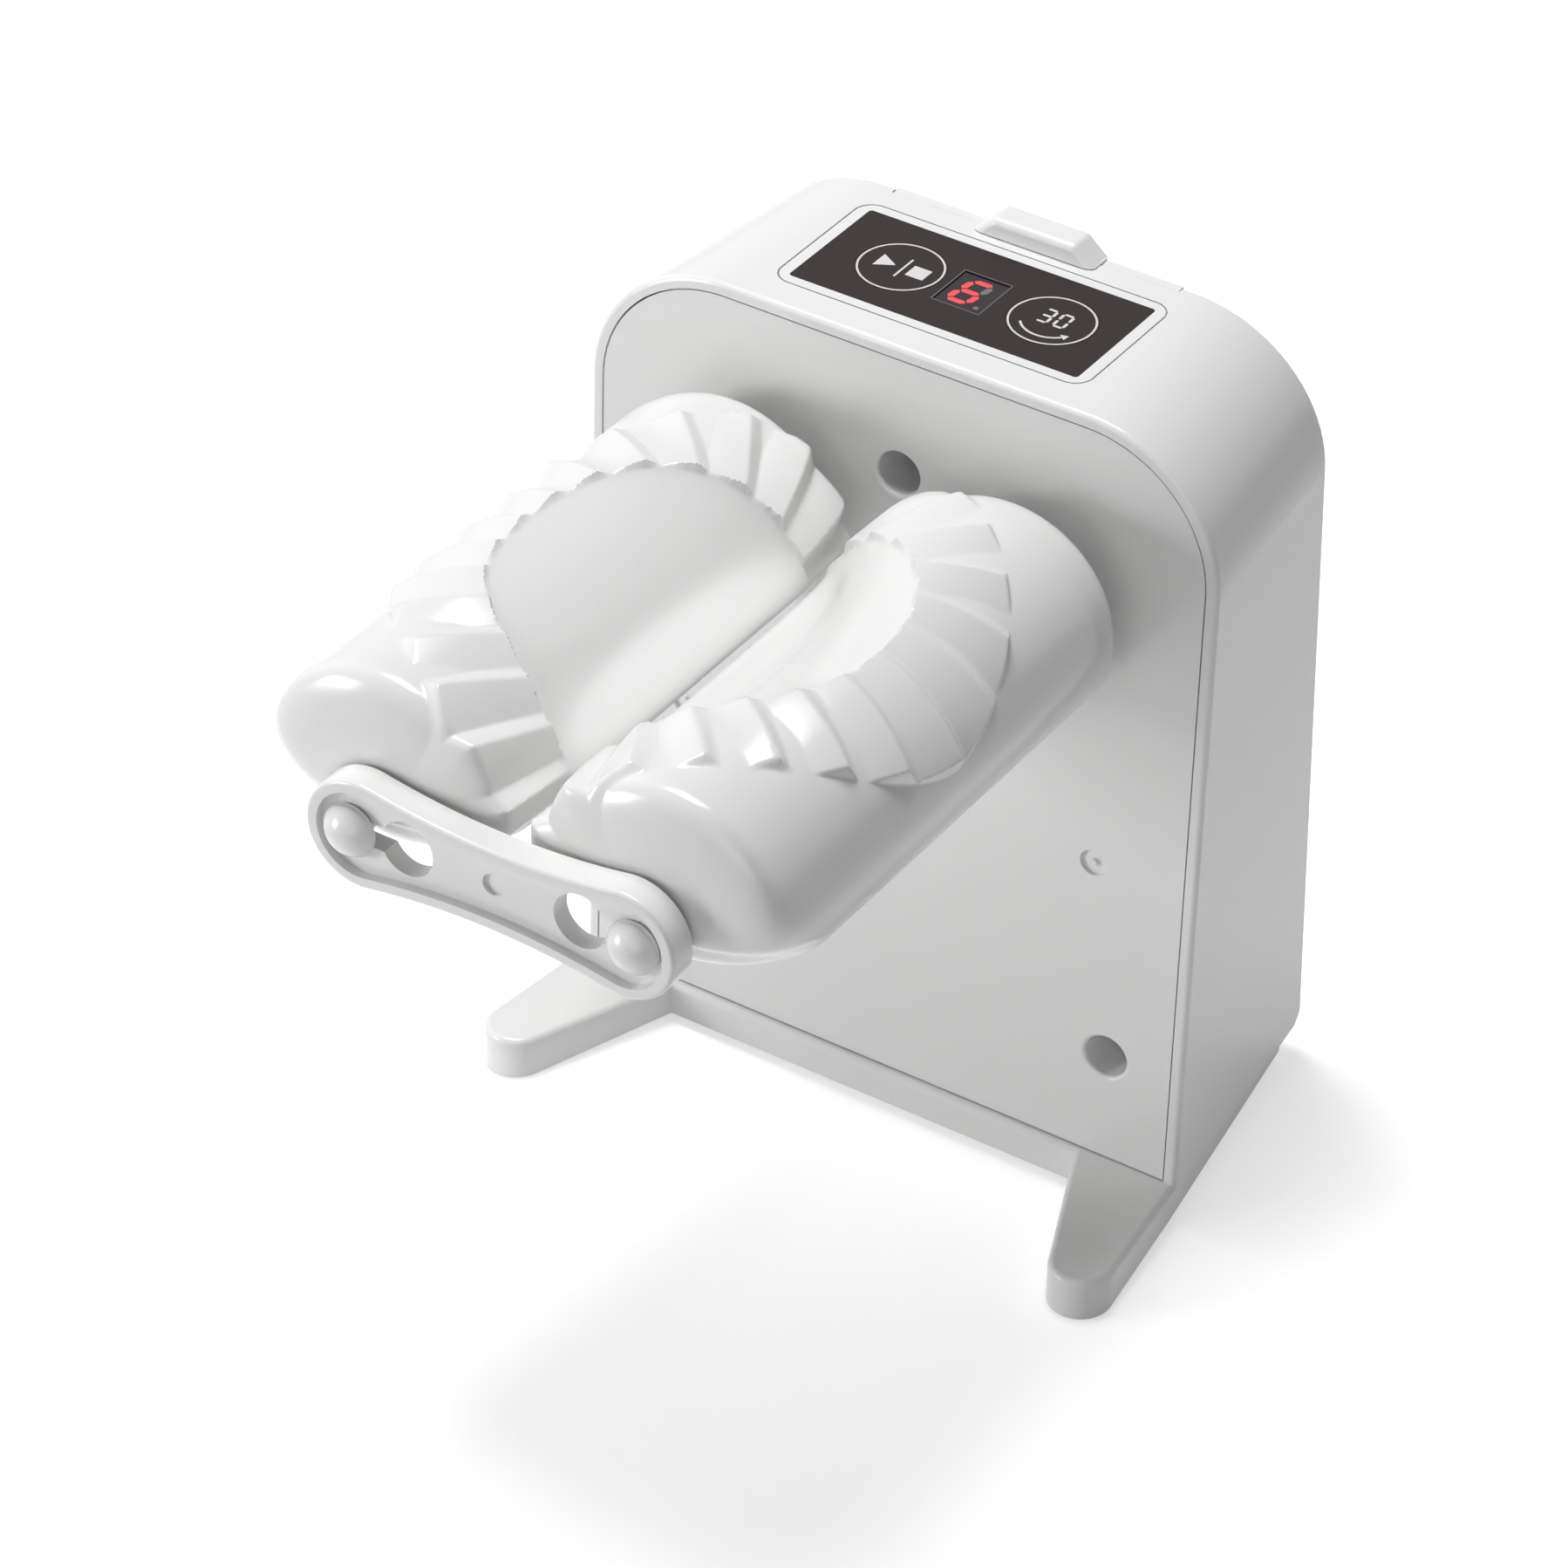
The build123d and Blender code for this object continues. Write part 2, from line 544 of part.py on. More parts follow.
def d_hole(radius, flat):
    """Round hole with a flat on its upper side."""
    return Circle(radius) & (Pos(0, flat - 2 * radius) * Rectangle(4 * radius, 4 * radius))


def make_gear(teeth, first, x, z, faces, bore):
    """A spur gear with a bore, between two depths."""
    return slab(Pos(x, z) * (gear_outline(teeth, first) - bore), *faces)


def make_hub(radius, x, z, front, back, bore):
    """The sleeve behind a gear."""
    return slab(Pos(x, z) * (Circle(radius) - bore), front, back)


def make_drive_shaft(side):
    """Shaft with a hexagon in front, a running part, a flat for its gear and a clip groove."""
    x = side * HALF_S
    hexagon = RegularPolygon(HEX_FLATS / 2, 6, major_radius=False)
    shaft = slab(Pos(x, AXIS_Z) * hexagon, HEX_TIP, HEX_ROOT) + rod(x, AXIS_Z, SHAFT_R, HEX_ROOT, SHAFT_END)
    flat_z = AXIS_Z + SHAFT_FLAT
    wide = (x - SHAFT_R, x + SHAFT_R)
    shaft -= block(wide, (GEAR_A[0], SHAFT_END + 1), (flat_z, flat_z + SHAFT_R))
    groove = rod(x, AXIS_Z, SHAFT_R + 1, CLIP_Y, CLIP_Y + CLIP_T + 2 * RUN)
    return shaft - (groove - rod(x, AXIS_Z, CLIP_GROOVE_R, CLIP_Y - 1, CLIP_Y + CLIP_T + 1))


def make_clip(side):
    """Open spring clip in the shaft's groove, behind the gear plate."""
    x = side * HALF_S
    front, back = CLIP_Y + RUN, CLIP_Y + RUN + CLIP_T
    ring = rod(x, AXIS_Z, CLIP_R, front, back) - rod(x, AXIS_Z, CLIP_GROOVE_R + FIT, front - 1, back + 1)
    mouth = (x - CLIP_MOUTH / 2, x + CLIP_MOUTH / 2)
    return ring - block(mouth, (front - 1, back + 1), (AXIS_Z - 2 * CLIP_R, AXIS_Z))


def make_front_bush(side):
    """Flanged sleeve in the panel's boss."""
    x = side * HALF_S
    bush = rod(x, AXIS_Z, BUSH_R, PANEL_SET, BUSH_BOSS_END)
    bush += rod(x, AXIS_Z, BUSH_FLANGE_R, BUSH_BOSS_END, BUSH_BOSS_END + BUSH_FLANGE_T)
    return bush - rod(x, AXIS_Z, SHAFT_R + RUN, 0, GEAR_A[0])


def make_rear_bush(side):
    """Sleeve in the gear plate."""
    x = side * HALF_S
    front, back = PLATE_Y - BUSH_FLANGE_T, PLATE_BACK + BUSH_FLANGE_T
    bush = rod(x, AXIS_Z, BUSH_R, front, back) + rod(x, AXIS_Z, BUSH_FLANGE_R, front, PLATE_Y)
    return bush - rod(x, AXIS_Z, SHAFT_R + RUN, front - 1, back + 1)


def make_seal(side):
    """Rubber ring that wipes the shaft in front of the panel."""
    x = side * HALF_S
    ring = rod(x, AXIS_Z, SEAL_R, PANEL_SET - SEAL_T, PANEL_SET)
    ring -= rod(x, AXIS_Z, SHAFT_R + RUN, PANEL_SET - 2 * SEAL_T, PANEL_SET + 1)
    front_circles = ring.edges().filter_by(GeomType.CIRCLE).group_by(Axis.Y)[0]
    return chamfer(front_circles.sort_by(SortBy.RADIUS)[-1], SEAL_T / 3)


def motor_screw_places():
    """Centres of the screws that hold the gearmotor to the gear plate."""
    return [(REDUCTION_X + s * MOTOR_SCREW_X, PINION_Z - drop) for drop in MOTOR_SCREW_DROPS for s in (-1, 1)]


def make_gear_plate():
    """Plate behind the gears, with a tongue down to the gearmotor."""
    high = PLATE_TOP - PLATE_LOW
    plan = Pos(0, PLATE_LOW + high / 2) * RectangleRounded(2 * PLATE_HALF_W, high, PLATE_CORNER)
    tongue_low = MOTOR_CASE_LOW
    tongue = Pos(REDUCTION_X, (tongue_low + PLATE_TOP) / 2) * Rectangle(MOTOR_CASE_W, PLATE_TOP - tongue_low)
    plan += tongue & (Pos(REDUCTION_X, tongue_low) * Rectangle(MOTOR_CASE_W, 2 * (AXIS_Z - tongue_low)))
    for s in (-1, 1):
        plan -= Pos(s * HALF_S, AXIS_Z) * Circle(BUSH_R + FIT)
    for x, z in pin_places():
        plan -= Pos(x, z) * Circle(PIN_R + FIT)
    for x, z in PILLARS + tuple(motor_screw_places()):
        plan -= Pos(x, z) * Circle(PLATE_SCREW_R + 3 * FIT)
    plan -= Pos(0, TOP_SCREW_Z) * Circle(POST_R + SEAM)
    plan -= Pos(REDUCTION_X, PINION_Z) * Circle(MOTOR_NOSE_R + FIT)
    return slab(plan, PLATE_Y, PLATE_BACK)


def make_gearmotor_case():
    """Gearhead case, open at the back, with a round nose in the gear plate."""
    x = (REDUCTION_X - MOTOR_CASE_W / 2, REDUCTION_X + MOTOR_CASE_W / 2)
    case = block(x, (PLATE_BACK, MOTOR_CASE_BACK), (MOTOR_CASE_LOW, MOTOR_CASE_TOP))
    case = fillet(case.edges().filter_by(Axis.Y), MOTOR_CASE_WALL)
    wall = MOTOR_CASE_WALL
    inner = (x[0] + wall, x[1] - wall)
    room = (MOTOR_CASE_LOW + wall, MOTOR_CASE_TOP - wall)
    case -= block(inner, (PLATE_BACK + 2 * wall, MOTOR_CASE_BACK + 1), room)
    for sx, z in motor_screw_places():
        case += rod(sx, z, 2 * PLATE_SCREW_R, PLATE_BACK, PLATE_BACK + PLATE_SCREW_L + wall)
        case -= rod(sx, z, PLATE_SCREW_R + FIT, PLATE_BACK - 1, PLATE_BACK + PLATE_SCREW_L)
    case += rod(REDUCTION_X, PINION_Z, MOTOR_NOSE_R, PLATE_Y, PLATE_BACK)
    case -= rod(REDUCTION_X, PINION_Z, MOTOR_SHAFT_R + RUN, PLATE_Y - 1, PLATE_BACK + 3 * wall)
    return case


def make_gearmotor_cover():
    """Lid on the back of the gearhead case."""
    x = (REDUCTION_X - MOTOR_CASE_W / 2, REDUCTION_X + MOTOR_CASE_W / 2)
    back = MOTOR_CASE_BACK + MOTOR_COVER_T
    lid = block(x, (MOTOR_CASE_BACK, back), (MOTOR_CASE_LOW, MOTOR_CASE_TOP))
    return fillet(lid.edges().filter_by(Axis.Y), MOTOR_CASE_WALL)


def make_gearmotor_shaft():
    """Output shaft of the gearhead, with a flat for the pinion and a collar inside the case."""
    shaft = rod(REDUCTION_X, PINION_Z, MOTOR_SHAFT_R, GEAR_B[0] - 1, MOTOR_CASE_BACK - GAP)
    flat_z = PINION_Z + MOTOR_SHAFT_FLAT
    wide = (REDUCTION_X - MOTOR_SHAFT_R, REDUCTION_X + MOTOR_SHAFT_R)
    shaft -= block(wide, (0, PLATE_Y - BUSH_FLANGE_T), (flat_z, flat_z + MOTOR_SHAFT_R))
    collar_front = PLATE_BACK + 2 * MOTOR_CASE_WALL + GAP
    return shaft + rod(REDUCTION_X, PINION_Z, 2 * MOTOR_SHAFT_R, collar_front, MOTOR_CASE_BACK - 2 * GAP)


def make_motor_can():
    """Round steel motor under the gearhead."""
    can = post(REDUCTION_X, MOTOR_MID_Y, MOTOR_CAN_R, MOTOR_CAN_LOW, MOTOR_CASE_LOW)
    return fillet(can.edges().group_by(Axis.Z)[0], 1.0)


def terminal_places():
    """Centres of the two solder tabs."""
    return [(REDUCTION_X + s * TERMINAL_X, MOTOR_MID_Y) for s in (-1, 1)]


def make_motor_cap():
    """Plastic end cap under the motor, slotted for its two tabs."""
    cap = post(REDUCTION_X, MOTOR_MID_Y, MOTOR_CAP_R, MOTOR_CAN_LOW - MOTOR_CAP_T, MOTOR_CAN_LOW)
    for x, y in terminal_places():
        slot = Box(TERMINAL[0] + 2 * FIT, TERMINAL[1] + 2 * FIT, MOTOR_CAP_T)
        cap -= Pos(x, y, MOTOR_CAN_LOW - MOTOR_CAP_T / 2) * slot
    return cap


def make_terminals():
    """Two solder tabs."""
    tabs = [Pos(x, y, MOTOR_CAN_LOW - TERMINAL[2] / 2) * Box(*TERMINAL) for x, y in terminal_places()]
    return Compound(children=tabs)


def smooth(t):
    """Smooth step from 0 to 1."""
    t = min(max(t, 0.0), 1.0)
    return t * t * (3 - 2 * t)


def pleat_height(angle):
    """Sawtooth round the bowl: 0 in a valley, 1 on a ridge."""
    step = 180 / PLEATS
    place = ((angle - PLEAT_START) / step) % 1.0
    if place < PLEAT_RISE:
        return place / PLEAT_RISE
    return (1 - place) / (1 - PLEAT_RISE)


def rounded(radius, y, length, power):
    """The front end: a superellipse of that length and power takes the radius to nothing."""
    near = min(max((MOULD_FRONT + length - y) / length, 0.0), 1.0)
    return radius * (1 - near ** power) ** (1 / power)


def core_radius(angle, y, upper):
    """Plain skin of a mould, fuller above than below, with its front end."""
    fuller = tanh(CORE_FLAT * cos(radians(angle - CORE_TURN))) / tanh(CORE_FLAT)
    length = FRONT_LOW_L + (FRONT_TOP_L - FRONT_LOW_L) * upper
    power = FRONT_LOW_N + (FRONT_TOP_N - FRONT_LOW_N) * upper
    return rounded(CORE_R + CORE_MORE * fuller, y, length, power)


def outline_norm(u, v, power):
    """Superellipse measure: 1 on the outline, less inside it."""
    return (abs(u) ** power + v ** power) ** (1 / power)


def band_radius(angle, y, core):
    """Skin with the bowl and its pleated band.

    On the cylinder of radius BAND_R a half superellipse with its straight side on the lip bounds the
    bowl, and a larger one bounds the band. The bowl dips below its rim by a power of its measure. The
    band's ridges keep one radius, its valleys deepen outwards, and a sloping wall ends it.
    """
    along = radians(angle - LIP_ANGLE) * BAND_R
    beside = y - BOWL_MID
    inward = max(-along, 0.0)
    inner = outline_norm(beside / BOWL_HALF_L, inward / BOWL_REACH, BOWL_POWER)
    outer = outline_norm(beside / BAND_HALF_L, inward / BAND_REACH, BAND_POWER)
    radius = core
    if inner < 1.0:
        lip = exp(-(along / LIP_W) ** 2)
        steep = 1 - exp(-(inward / LIP_W) ** 2)
        radius = RIDGE_R - RIM_DROP * (1 - lip) - BOWL_DEPTH * (1 - inner ** 2) ** 0.75 * steep
    elif outer < 1.0:
        share = (inner - 1) / ((inner - 1) + (1 - outer))
        height = PLEAT_LOW + (PLEAT_HIGH - PLEAT_LOW) * share
        pleat = pleat_height(degrees(atan2(beside, inward)))
        band = rounded(RIDGE_R - height * (1 - pleat), y, BAND_END_L, BAND_END_N)
        wall = core + WALL_SLOPE * BAND_HALF_L * (1 - outer)
        radius = max(core, min(band, wall))
    if along > 0:
        radius += (core - radius) * smooth(along / LIP_BACK)
    return min(radius, MOULD_TOP_R)


def mould_radius(angle, y):
    """Distance of the mould's surface from the roller axis, with both ends drawn in."""
    upper = 0.5 + 0.5 * tanh(FRONT_SIDES * cos(radians(angle)))
    radius = band_radius(angle, y, core_radius(angle, y, upper))
    near = min(max((y - MOULD_REAR + REAR_L) / REAR_L, 0.0), 1.0)
    radius -= REAR_DROP * upper * (1 - sqrt(1 - near ** 2))
    return max(radius, FRONT_LEAST)


def mould_section(y):
    """Closed outline of the left mould at one depth, as a face."""
    angles = list(range(-180, 60, 6)) + list(range(60, 100, 4)) + list(range(100, 180, 10))
    points = []
    for angle in angles:
        r = mould_radius(angle, y)
        points.append((-HALF_S + r * sin(radians(angle)), y, AXIS_Z + r * cos(radians(angle))))
    return Face(Wire([Spline(*points, periodic=True)]))


def make_left_mould():
    """Mould body skinned through its outlines, with its hexagonal socket, hollow, neck and head."""
    depths = [MOULD_FRONT + t for t in (0.3, 0.7, 1.3, 2.1, 3.2, 4.6, 6.2, 8.4, 11.2, 14.4)]
    first = depths[-1]
    rear_start = MOULD_REAR - REAR_L
    count = 34
    depths += [first + (rear_start - first) * (k + 1) / count for k in range(count)]
    depths += [MOULD_REAR - REAR_L * share for share in (0.6, 0.3, 0.1, 0.0)]
    mould = loft([mould_section(y) for y in depths], ruled=True)

    x = -HALF_S
    hollow = rod(x, AXIS_Z, MOULD_HOLLOW_R, MOULD_HOLLOW_END, MOULD_REAR + 1)
    hollow -= rod(x, AXIS_Z, MOULD_HUB_R, MOULD_HOLLOW_END - 1, MOULD_REAR + 2)
    across = 2 * MOULD_HOLLOW_R + MOULD_RIB_T
    for rib in (Rectangle(across, MOULD_RIB_T), Rectangle(MOULD_RIB_T, across)):
        hollow -= slab(Pos(x, AXIS_Z) * rib, MOULD_HOLLOW_END - 1, MOULD_REAR - MOULD_RIB_T)
    mould -= hollow
    socket = RegularPolygon(HEX_FLATS / 2 + HEX_FIT, 6, major_radius=False)
    mould -= slab(Pos(x, AXIS_Z) * socket, HEX_TIP - 2 * GAP, MOULD_REAR + 1)

    neck = rod(x, AXIS_Z, NECK_R, HEAD_BACK, MOULD_FRONT + NECK_R)
    dome = Pos(x, HEAD_TIP + HEAD_SPHERE_R, AXIS_Z) * Sphere(HEAD_SPHERE_R)
    head = rod(x, AXIS_Z, HEAD_R, HEAD_TIP, HEAD_BACK) & dome
    return mould + neck + head


def bar_outline(grow):
    """Outline of the link bar: round ends joined by hollow flanks, set out by the amount given."""
    end_r = BAR_END_R + grow
    waist = BAR_WAIST + grow
    flank_r = (BAR_END_X ** 2 + waist ** 2 - end_r ** 2) / (2 * (end_r - waist))
    share = end_r / (end_r + flank_r)
    touch_x = BAR_END_X * (1 - share)
    touch_z = (waist + flank_r) * share
    top = ThreePointArc((-touch_x, touch_z), (0, waist), (touch_x, touch_z))
    right = ThreePointArc((touch_x, touch_z), (BAR_END_X + end_r, 0), (touch_x, -touch_z))
    low = ThreePointArc((touch_x, -touch_z), (0, -waist), (-touch_x, -touch_z))
    left = ThreePointArc((-touch_x, -touch_z), (-BAR_END_X - end_r, 0), (-touch_x, touch_z))
    return Pos(0, AXIS_Z) * make_face([top, right, low, left])


def make_link_bar():
    """Moulded bar with a raised rim and two keyholes, whose slots hold the mould necks."""
    rim = slab(bar_outline(0), BAR_RIM, BAR_BACK)
    rim = fillet(rim.faces().sort_by(Axis.Y)[0].edges(), BAR_RIM_ROUND)
    bar = rim - slab(bar_outline(-BAR_RIM_W), BAR_RIM - 1, BAR_WEB)
    for s in (-1, 1):
        slot_r = NECK_R + SLOT_FIT
        slot = Pos(s * (KEYHOLE_X + HALF_S) / 2, AXIS_Z) * Rectangle(HALF_S - KEYHOLE_X, 2 * slot_r)
        keyhole = slot + Pos(s * HALF_S, AXIS_Z) * Circle(slot_r)
        keyhole += Pos(s * KEYHOLE_X, AXIS_Z) * Circle(KEYHOLE_R)
        bar -= slab(keyhole, BAR_RIM - 1, BAR_BACK + 1)
    return bar - rod(0, AXIS_Z, MARK_R, BAR_RIM, BAR_WEB + MARK_DEEP)


def make_bezel():
    """Stepped frame in the top opening, with posts for the board and two snap hooks."""
    top = BODY_TOP
    flange = RectangleRounded(BEZEL_W, BEZEL_D, BEZEL_CORNER)
    bezel = extrude(Pos(0, CONTROL_Y, top - BEZEL_SINK) * flange, amount=BEZEL_SINK)
    under_w = BEZEL_W - 2 * BEZEL_STEP - 2 * DOOR_GAP
    under_d = BEZEL_D - 2 * BEZEL_STEP - 2 * DOOR_GAP
    under = Rectangle(under_w, under_d)
    bezel += extrude(Pos(0, CONTROL_Y, top - BEZEL_T) * under, amount=BEZEL_T - BEZEL_SINK / 2)
    for sx in (-1, 1):
        for sy in (-1, 1):
            x, y = sx * BOARD_POST_X, CONTROL_Y + sy * BOARD_POST_Y
            bezel += post(x, y, BOARD_POST_R, BOARD_TOP, top - BEZEL_SINK)
        for sy in (-1, 1):
            edge = CONTROL_Y + sy * under_d / 2
            x = (sx * HOOK_X - HOOK_W / 2, sx * HOOK_X + HOOK_W / 2)
            inner = sorted((edge, edge - sy * HOOK_T))
            tip_low = top - WALL - 2 * HOOK_BARB - HOOK_T
            bezel += block(x, inner, (tip_low, top - BEZEL_SINK))
            barb = sorted((edge - sy * HOOK_T, edge + sy * HOOK_BARB))
            bezel += block(x, barb, (tip_low, top - WALL - DOOR_GAP))
    label = RectangleRounded(LABEL_W + 2 * LABEL_FIT, LABEL_D + 2 * LABEL_FIT, LABEL_CORNER + LABEL_FIT)
    bezel -= extrude(Pos(0, CONTROL_Y, top - LABEL_T) * label, amount=LABEL_T + 1)
    for s in (-1, 1):
        bezel -= post(KEY_MID_X + s * KEY_X, CONTROL_Y, KEY_R + LABEL_FIT, top - LABEL_T - KEY_ROOM, top)
        bezel -= post(KEY_MID_X + s * KEY_X, CONTROL_Y, STEM_HOLE_R, top - 3 * BEZEL_T, top)
    window = Box(WINDOW_W + 2 * DISPLAY_FIT, WINDOW_D + 2 * DISPLAY_FIT, 6 * BEZEL_T)
    bezel -= Pos(0, CONTROL_Y, top) * window
    for sx in (-1, 1):
        for sy in (-1, 1):
            x, y = sx * BOARD_POST_X, CONTROL_Y + sy * BOARD_POST_Y
            bezel -= post(x, y, BOARD_SCREW_R + FIT, BOARD_TOP - 1, BOARD_TOP + BOARD_SCREW_BITE)
    return bezel


def make_label():
    """Black film with holes for the two key zones and the display."""
    outline = RectangleRounded(LABEL_W, LABEL_D, LABEL_CORNER)
    for s in (-1, 1):
        outline -= Pos(KEY_MID_X + s * KEY_X, 0) * Circle(KEY_R + KEY_FIT)
    outline -= Rectangle(WINDOW_W + 2 * DISPLAY_FIT, WINDOW_D + 2 * DISPLAY_FIT)
    return extrude(Pos(0, CONTROL_Y, KEY_LOW) * outline, amount=LABEL_T)


def make_key_face(side):
    """The zone of the film inside a printed ring, which gives way under a finger."""
    return post(KEY_MID_X + side * KEY_X, CONTROL_Y, KEY_R, KEY_LOW, LABEL_TOP)


def make_key_stem(side):
    """Plunger between the film and the switch."""
    shoulder = BOARD_TOP + SWITCH_H + SWITCH_GAP
    stem = post(KEY_MID_X + side * KEY_X, CONTROL_Y, STEM_R, shoulder, KEY_LOW)
    tip_low = BOARD_TOP + SWITCH_H - 3 * KEY_TRAVEL
    return stem + post(KEY_MID_X + side * KEY_X, CONTROL_Y, STEM_TIP_R, tip_low, shoulder)


def make_switch(side):
    """Body of a push switch, bored for the stem's tip."""
    x = KEY_MID_X + side * KEY_X
    body = Pos(x, CONTROL_Y, BOARD_TOP + SWITCH_H / 2) * Box(SWITCH_W, SWITCH_W, SWITCH_H)
    bore_low = BOARD_TOP + SWITCH_H - 5 * KEY_TRAVEL
    return body - post(x, CONTROL_Y, SWITCH_BORE_R, bore_low, BOARD_TOP + SWITCH_H + 1)


def make_display():
    """One-digit display module, from the board up to the film's face."""
    high = BODY_TOP - GAP - BOARD_TOP
    return Pos(0, CONTROL_Y, BOARD_TOP + high / 2) * Box(WINDOW_W, WINDOW_D, high)


def make_board():
    """Control board under the bezel's posts."""
    board = Pos(0, CONTROL_Y, BOARD_LOW + BOARD_T / 2) * Box(BOARD_W, BOARD_D, BOARD_T)
    for sx in (-1, 1):
        for sy in (-1, 1):
            x, y = sx * BOARD_POST_X, CONTROL_Y + sy * BOARD_POST_Y
            board -= post(x, y, BOARD_SCREW_R + FIT, BOARD_LOW - 1, BOARD_TOP + 1)
    return board


def make_board_screws():
    """Four small screws from below, through the board into the posts."""
    screws = []
    for sx in (-1, 1):
        for sy in (-1, 1):
            x, y = sx * BOARD_POST_X, CONTROL_Y + sy * BOARD_POST_Y
            screw = post(x, y, BOARD_SCREW_R, BOARD_LOW, BOARD_TOP + BOARD_SCREW_BITE - GAP)
            screws.append(screw + post(x, y, BOARD_SCREW_HEAD_R, BOARD_LOW - BOARD_SCREW_HEAD_T, BOARD_LOW))
    return Compound(children=screws)


def make_door():
    """Battery door with two tongues at its lower edge and a thumb lip over the top edge."""
    door = rear_block(DOOR_W, -DOOR_LEN, 0, -DOOR_T, 0)
    corners = door.edges().filter_by(lambda e: abs(e.length - DOOR_T) < 1e-3)
    door = fillet(corners.group_by(Axis.Z)[0], REAR_ROUND)
    tongue_low, tongue_top = -DOOR_LEN - TONGUE_DOWN, -DOOR_LEN + TONGUE_UP
    for s in (-1, 1):
        door += rear_block(TONGUE_W, tongue_low, tongue_top, -DOOR_T - TONGUE_T, -DOOR_T, s * TONGUE_X)
    lip_front = TOP_DEPTH - DOOR_LIP_L
    low, high = BODY_TOP + DOOR_GAP, BODY_TOP + DOOR_LIP_H
    half_low, half_top = DOOR_LIP_W / 2, DOOR_LIP_TOP_W / 2
    outline = [(-half_low, low), (half_low, low), (half_top, high), (-half_top, high)]
    lip = make_face(Polyline(*outline, close=True))
    lip = slab(Pos(DOOR_LIP_X, 0) * lip, lip_front, TOP_DEPTH + DOOR_LIP_OVER)
    lip = fillet(lip.edges().filter_by(lambda e: e.center().Z > low + 1e-3), DOOR_LIP_ROUND)
    neck = Pos(DOOR_LIP_X, BODY_TOP) * Rectangle(DOOR_LIP_W, 4 * DOOR_GAP)
    return door + slab(neck, TOP_DEPTH - DOOR_T, TOP_DEPTH) + lip


def cell_places():
    """Middle of each cell across the pocket."""
    return [(k - (CELLS - 1) / 2) * CELL_PITCH for k in range(CELLS)]


def make_cells():
    """Round cells standing side by side, each the other way up from its neighbour."""
    cells = []
    for k, x in enumerate(cell_places()):
        nub_up = k % 2 == 0
        body_low = POCKET_LOW + CONTACT_T + (SPRING_L if nub_up else CELL_NUB_L) + POCKET_ROOM / 2
        middle = REAR * Pos(-x, body_low + CELL_L / 2, CELL_N) * Rot(90, 0, 0)
        nub_mid = (CELL_L + CELL_NUB_L) / 2 * (-1 if nub_up else 1)
        nub = Pos(0, 0, nub_mid) * Cylinder(CELL_NUB_R, CELL_NUB_L)
        cells.append(middle * (Cylinder(CELL_R, CELL_L) + nub))
    return Compound(children=cells)


def make_contacts():
    """Flat plates at both ends of each cell."""
    plates = []
    for x in cell_places():
        for low in (POCKET_LOW, POCKET_TOP - CONTACT_T):
            deep, out = CELL_N - CONTACT_W / 2, CELL_N + CONTACT_W / 2
            plates.append(rear_block(CONTACT_W, low, low + CONTACT_T, deep, out, x))
    return Compound(children=plates)


def make_springs():
    """Short coils that press each cell against its other contact."""
    springs = []
    for k, x in enumerate(cell_places()):
        low = POCKET_LOW + CONTACT_T if k % 2 == 0 else POCKET_TOP - CONTACT_T - SPRING_L
        coil = Cylinder(SPRING_R, SPRING_L) - Cylinder(SPRING_R - 2 * WIRE_R, SPRING_L)
        springs.append(REAR * Pos(-x, low + SPRING_L / 2, CELL_N) * Rot(90, 0, 0) * coil)
    return Compound(children=springs)


def make_pads():
    """Four rubber feet."""
    return Compound(children=[post(x, y, PAD_R, 0, PAD_T) for x, y in pad_places()])


def make_wires():
    """Two leads from the motor tabs, up in front of the battery pocket, to the board."""
    wires = []
    exposed = TERMINAL[2] - MOTOR_CAP_T
    low = MOTOR_CAN_LOW - MOTOR_CAP_T - exposed / 2
    high_y = PLATE_BACK + WIRE_HIGH_BACK
    for k, (x, y) in enumerate(terminal_places()):
        low_y = PLATE_BACK + WIRE_LOW_BACK + k * WIRE_STEP
        run_x = WIRE_RUN_X - k * WIRE_STEP
        points = [
            (x, y - TERMINAL[1] / 2, low), (x, low_y, low), (run_x, low_y, low),
            (run_x, low_y, MOTOR_CASE_LOW),
            (run_x, high_y, PLATE_LOW), (run_x, high_y, BOARD_LOW)]
        path = FilletPolyline(*points, radius=WIRE_BEND * 0.9)
        wires.append(sweep(Plane(origin=points[0], z_dir=(0, -1, 0)) * Circle(WIRE_R), path=path))
    return Compound(children=wires)


def make_mould_pair():
    """The left mould and its mirror image."""
    left = make_left_mould()
    return left, mirror(left, about=Plane.YZ)


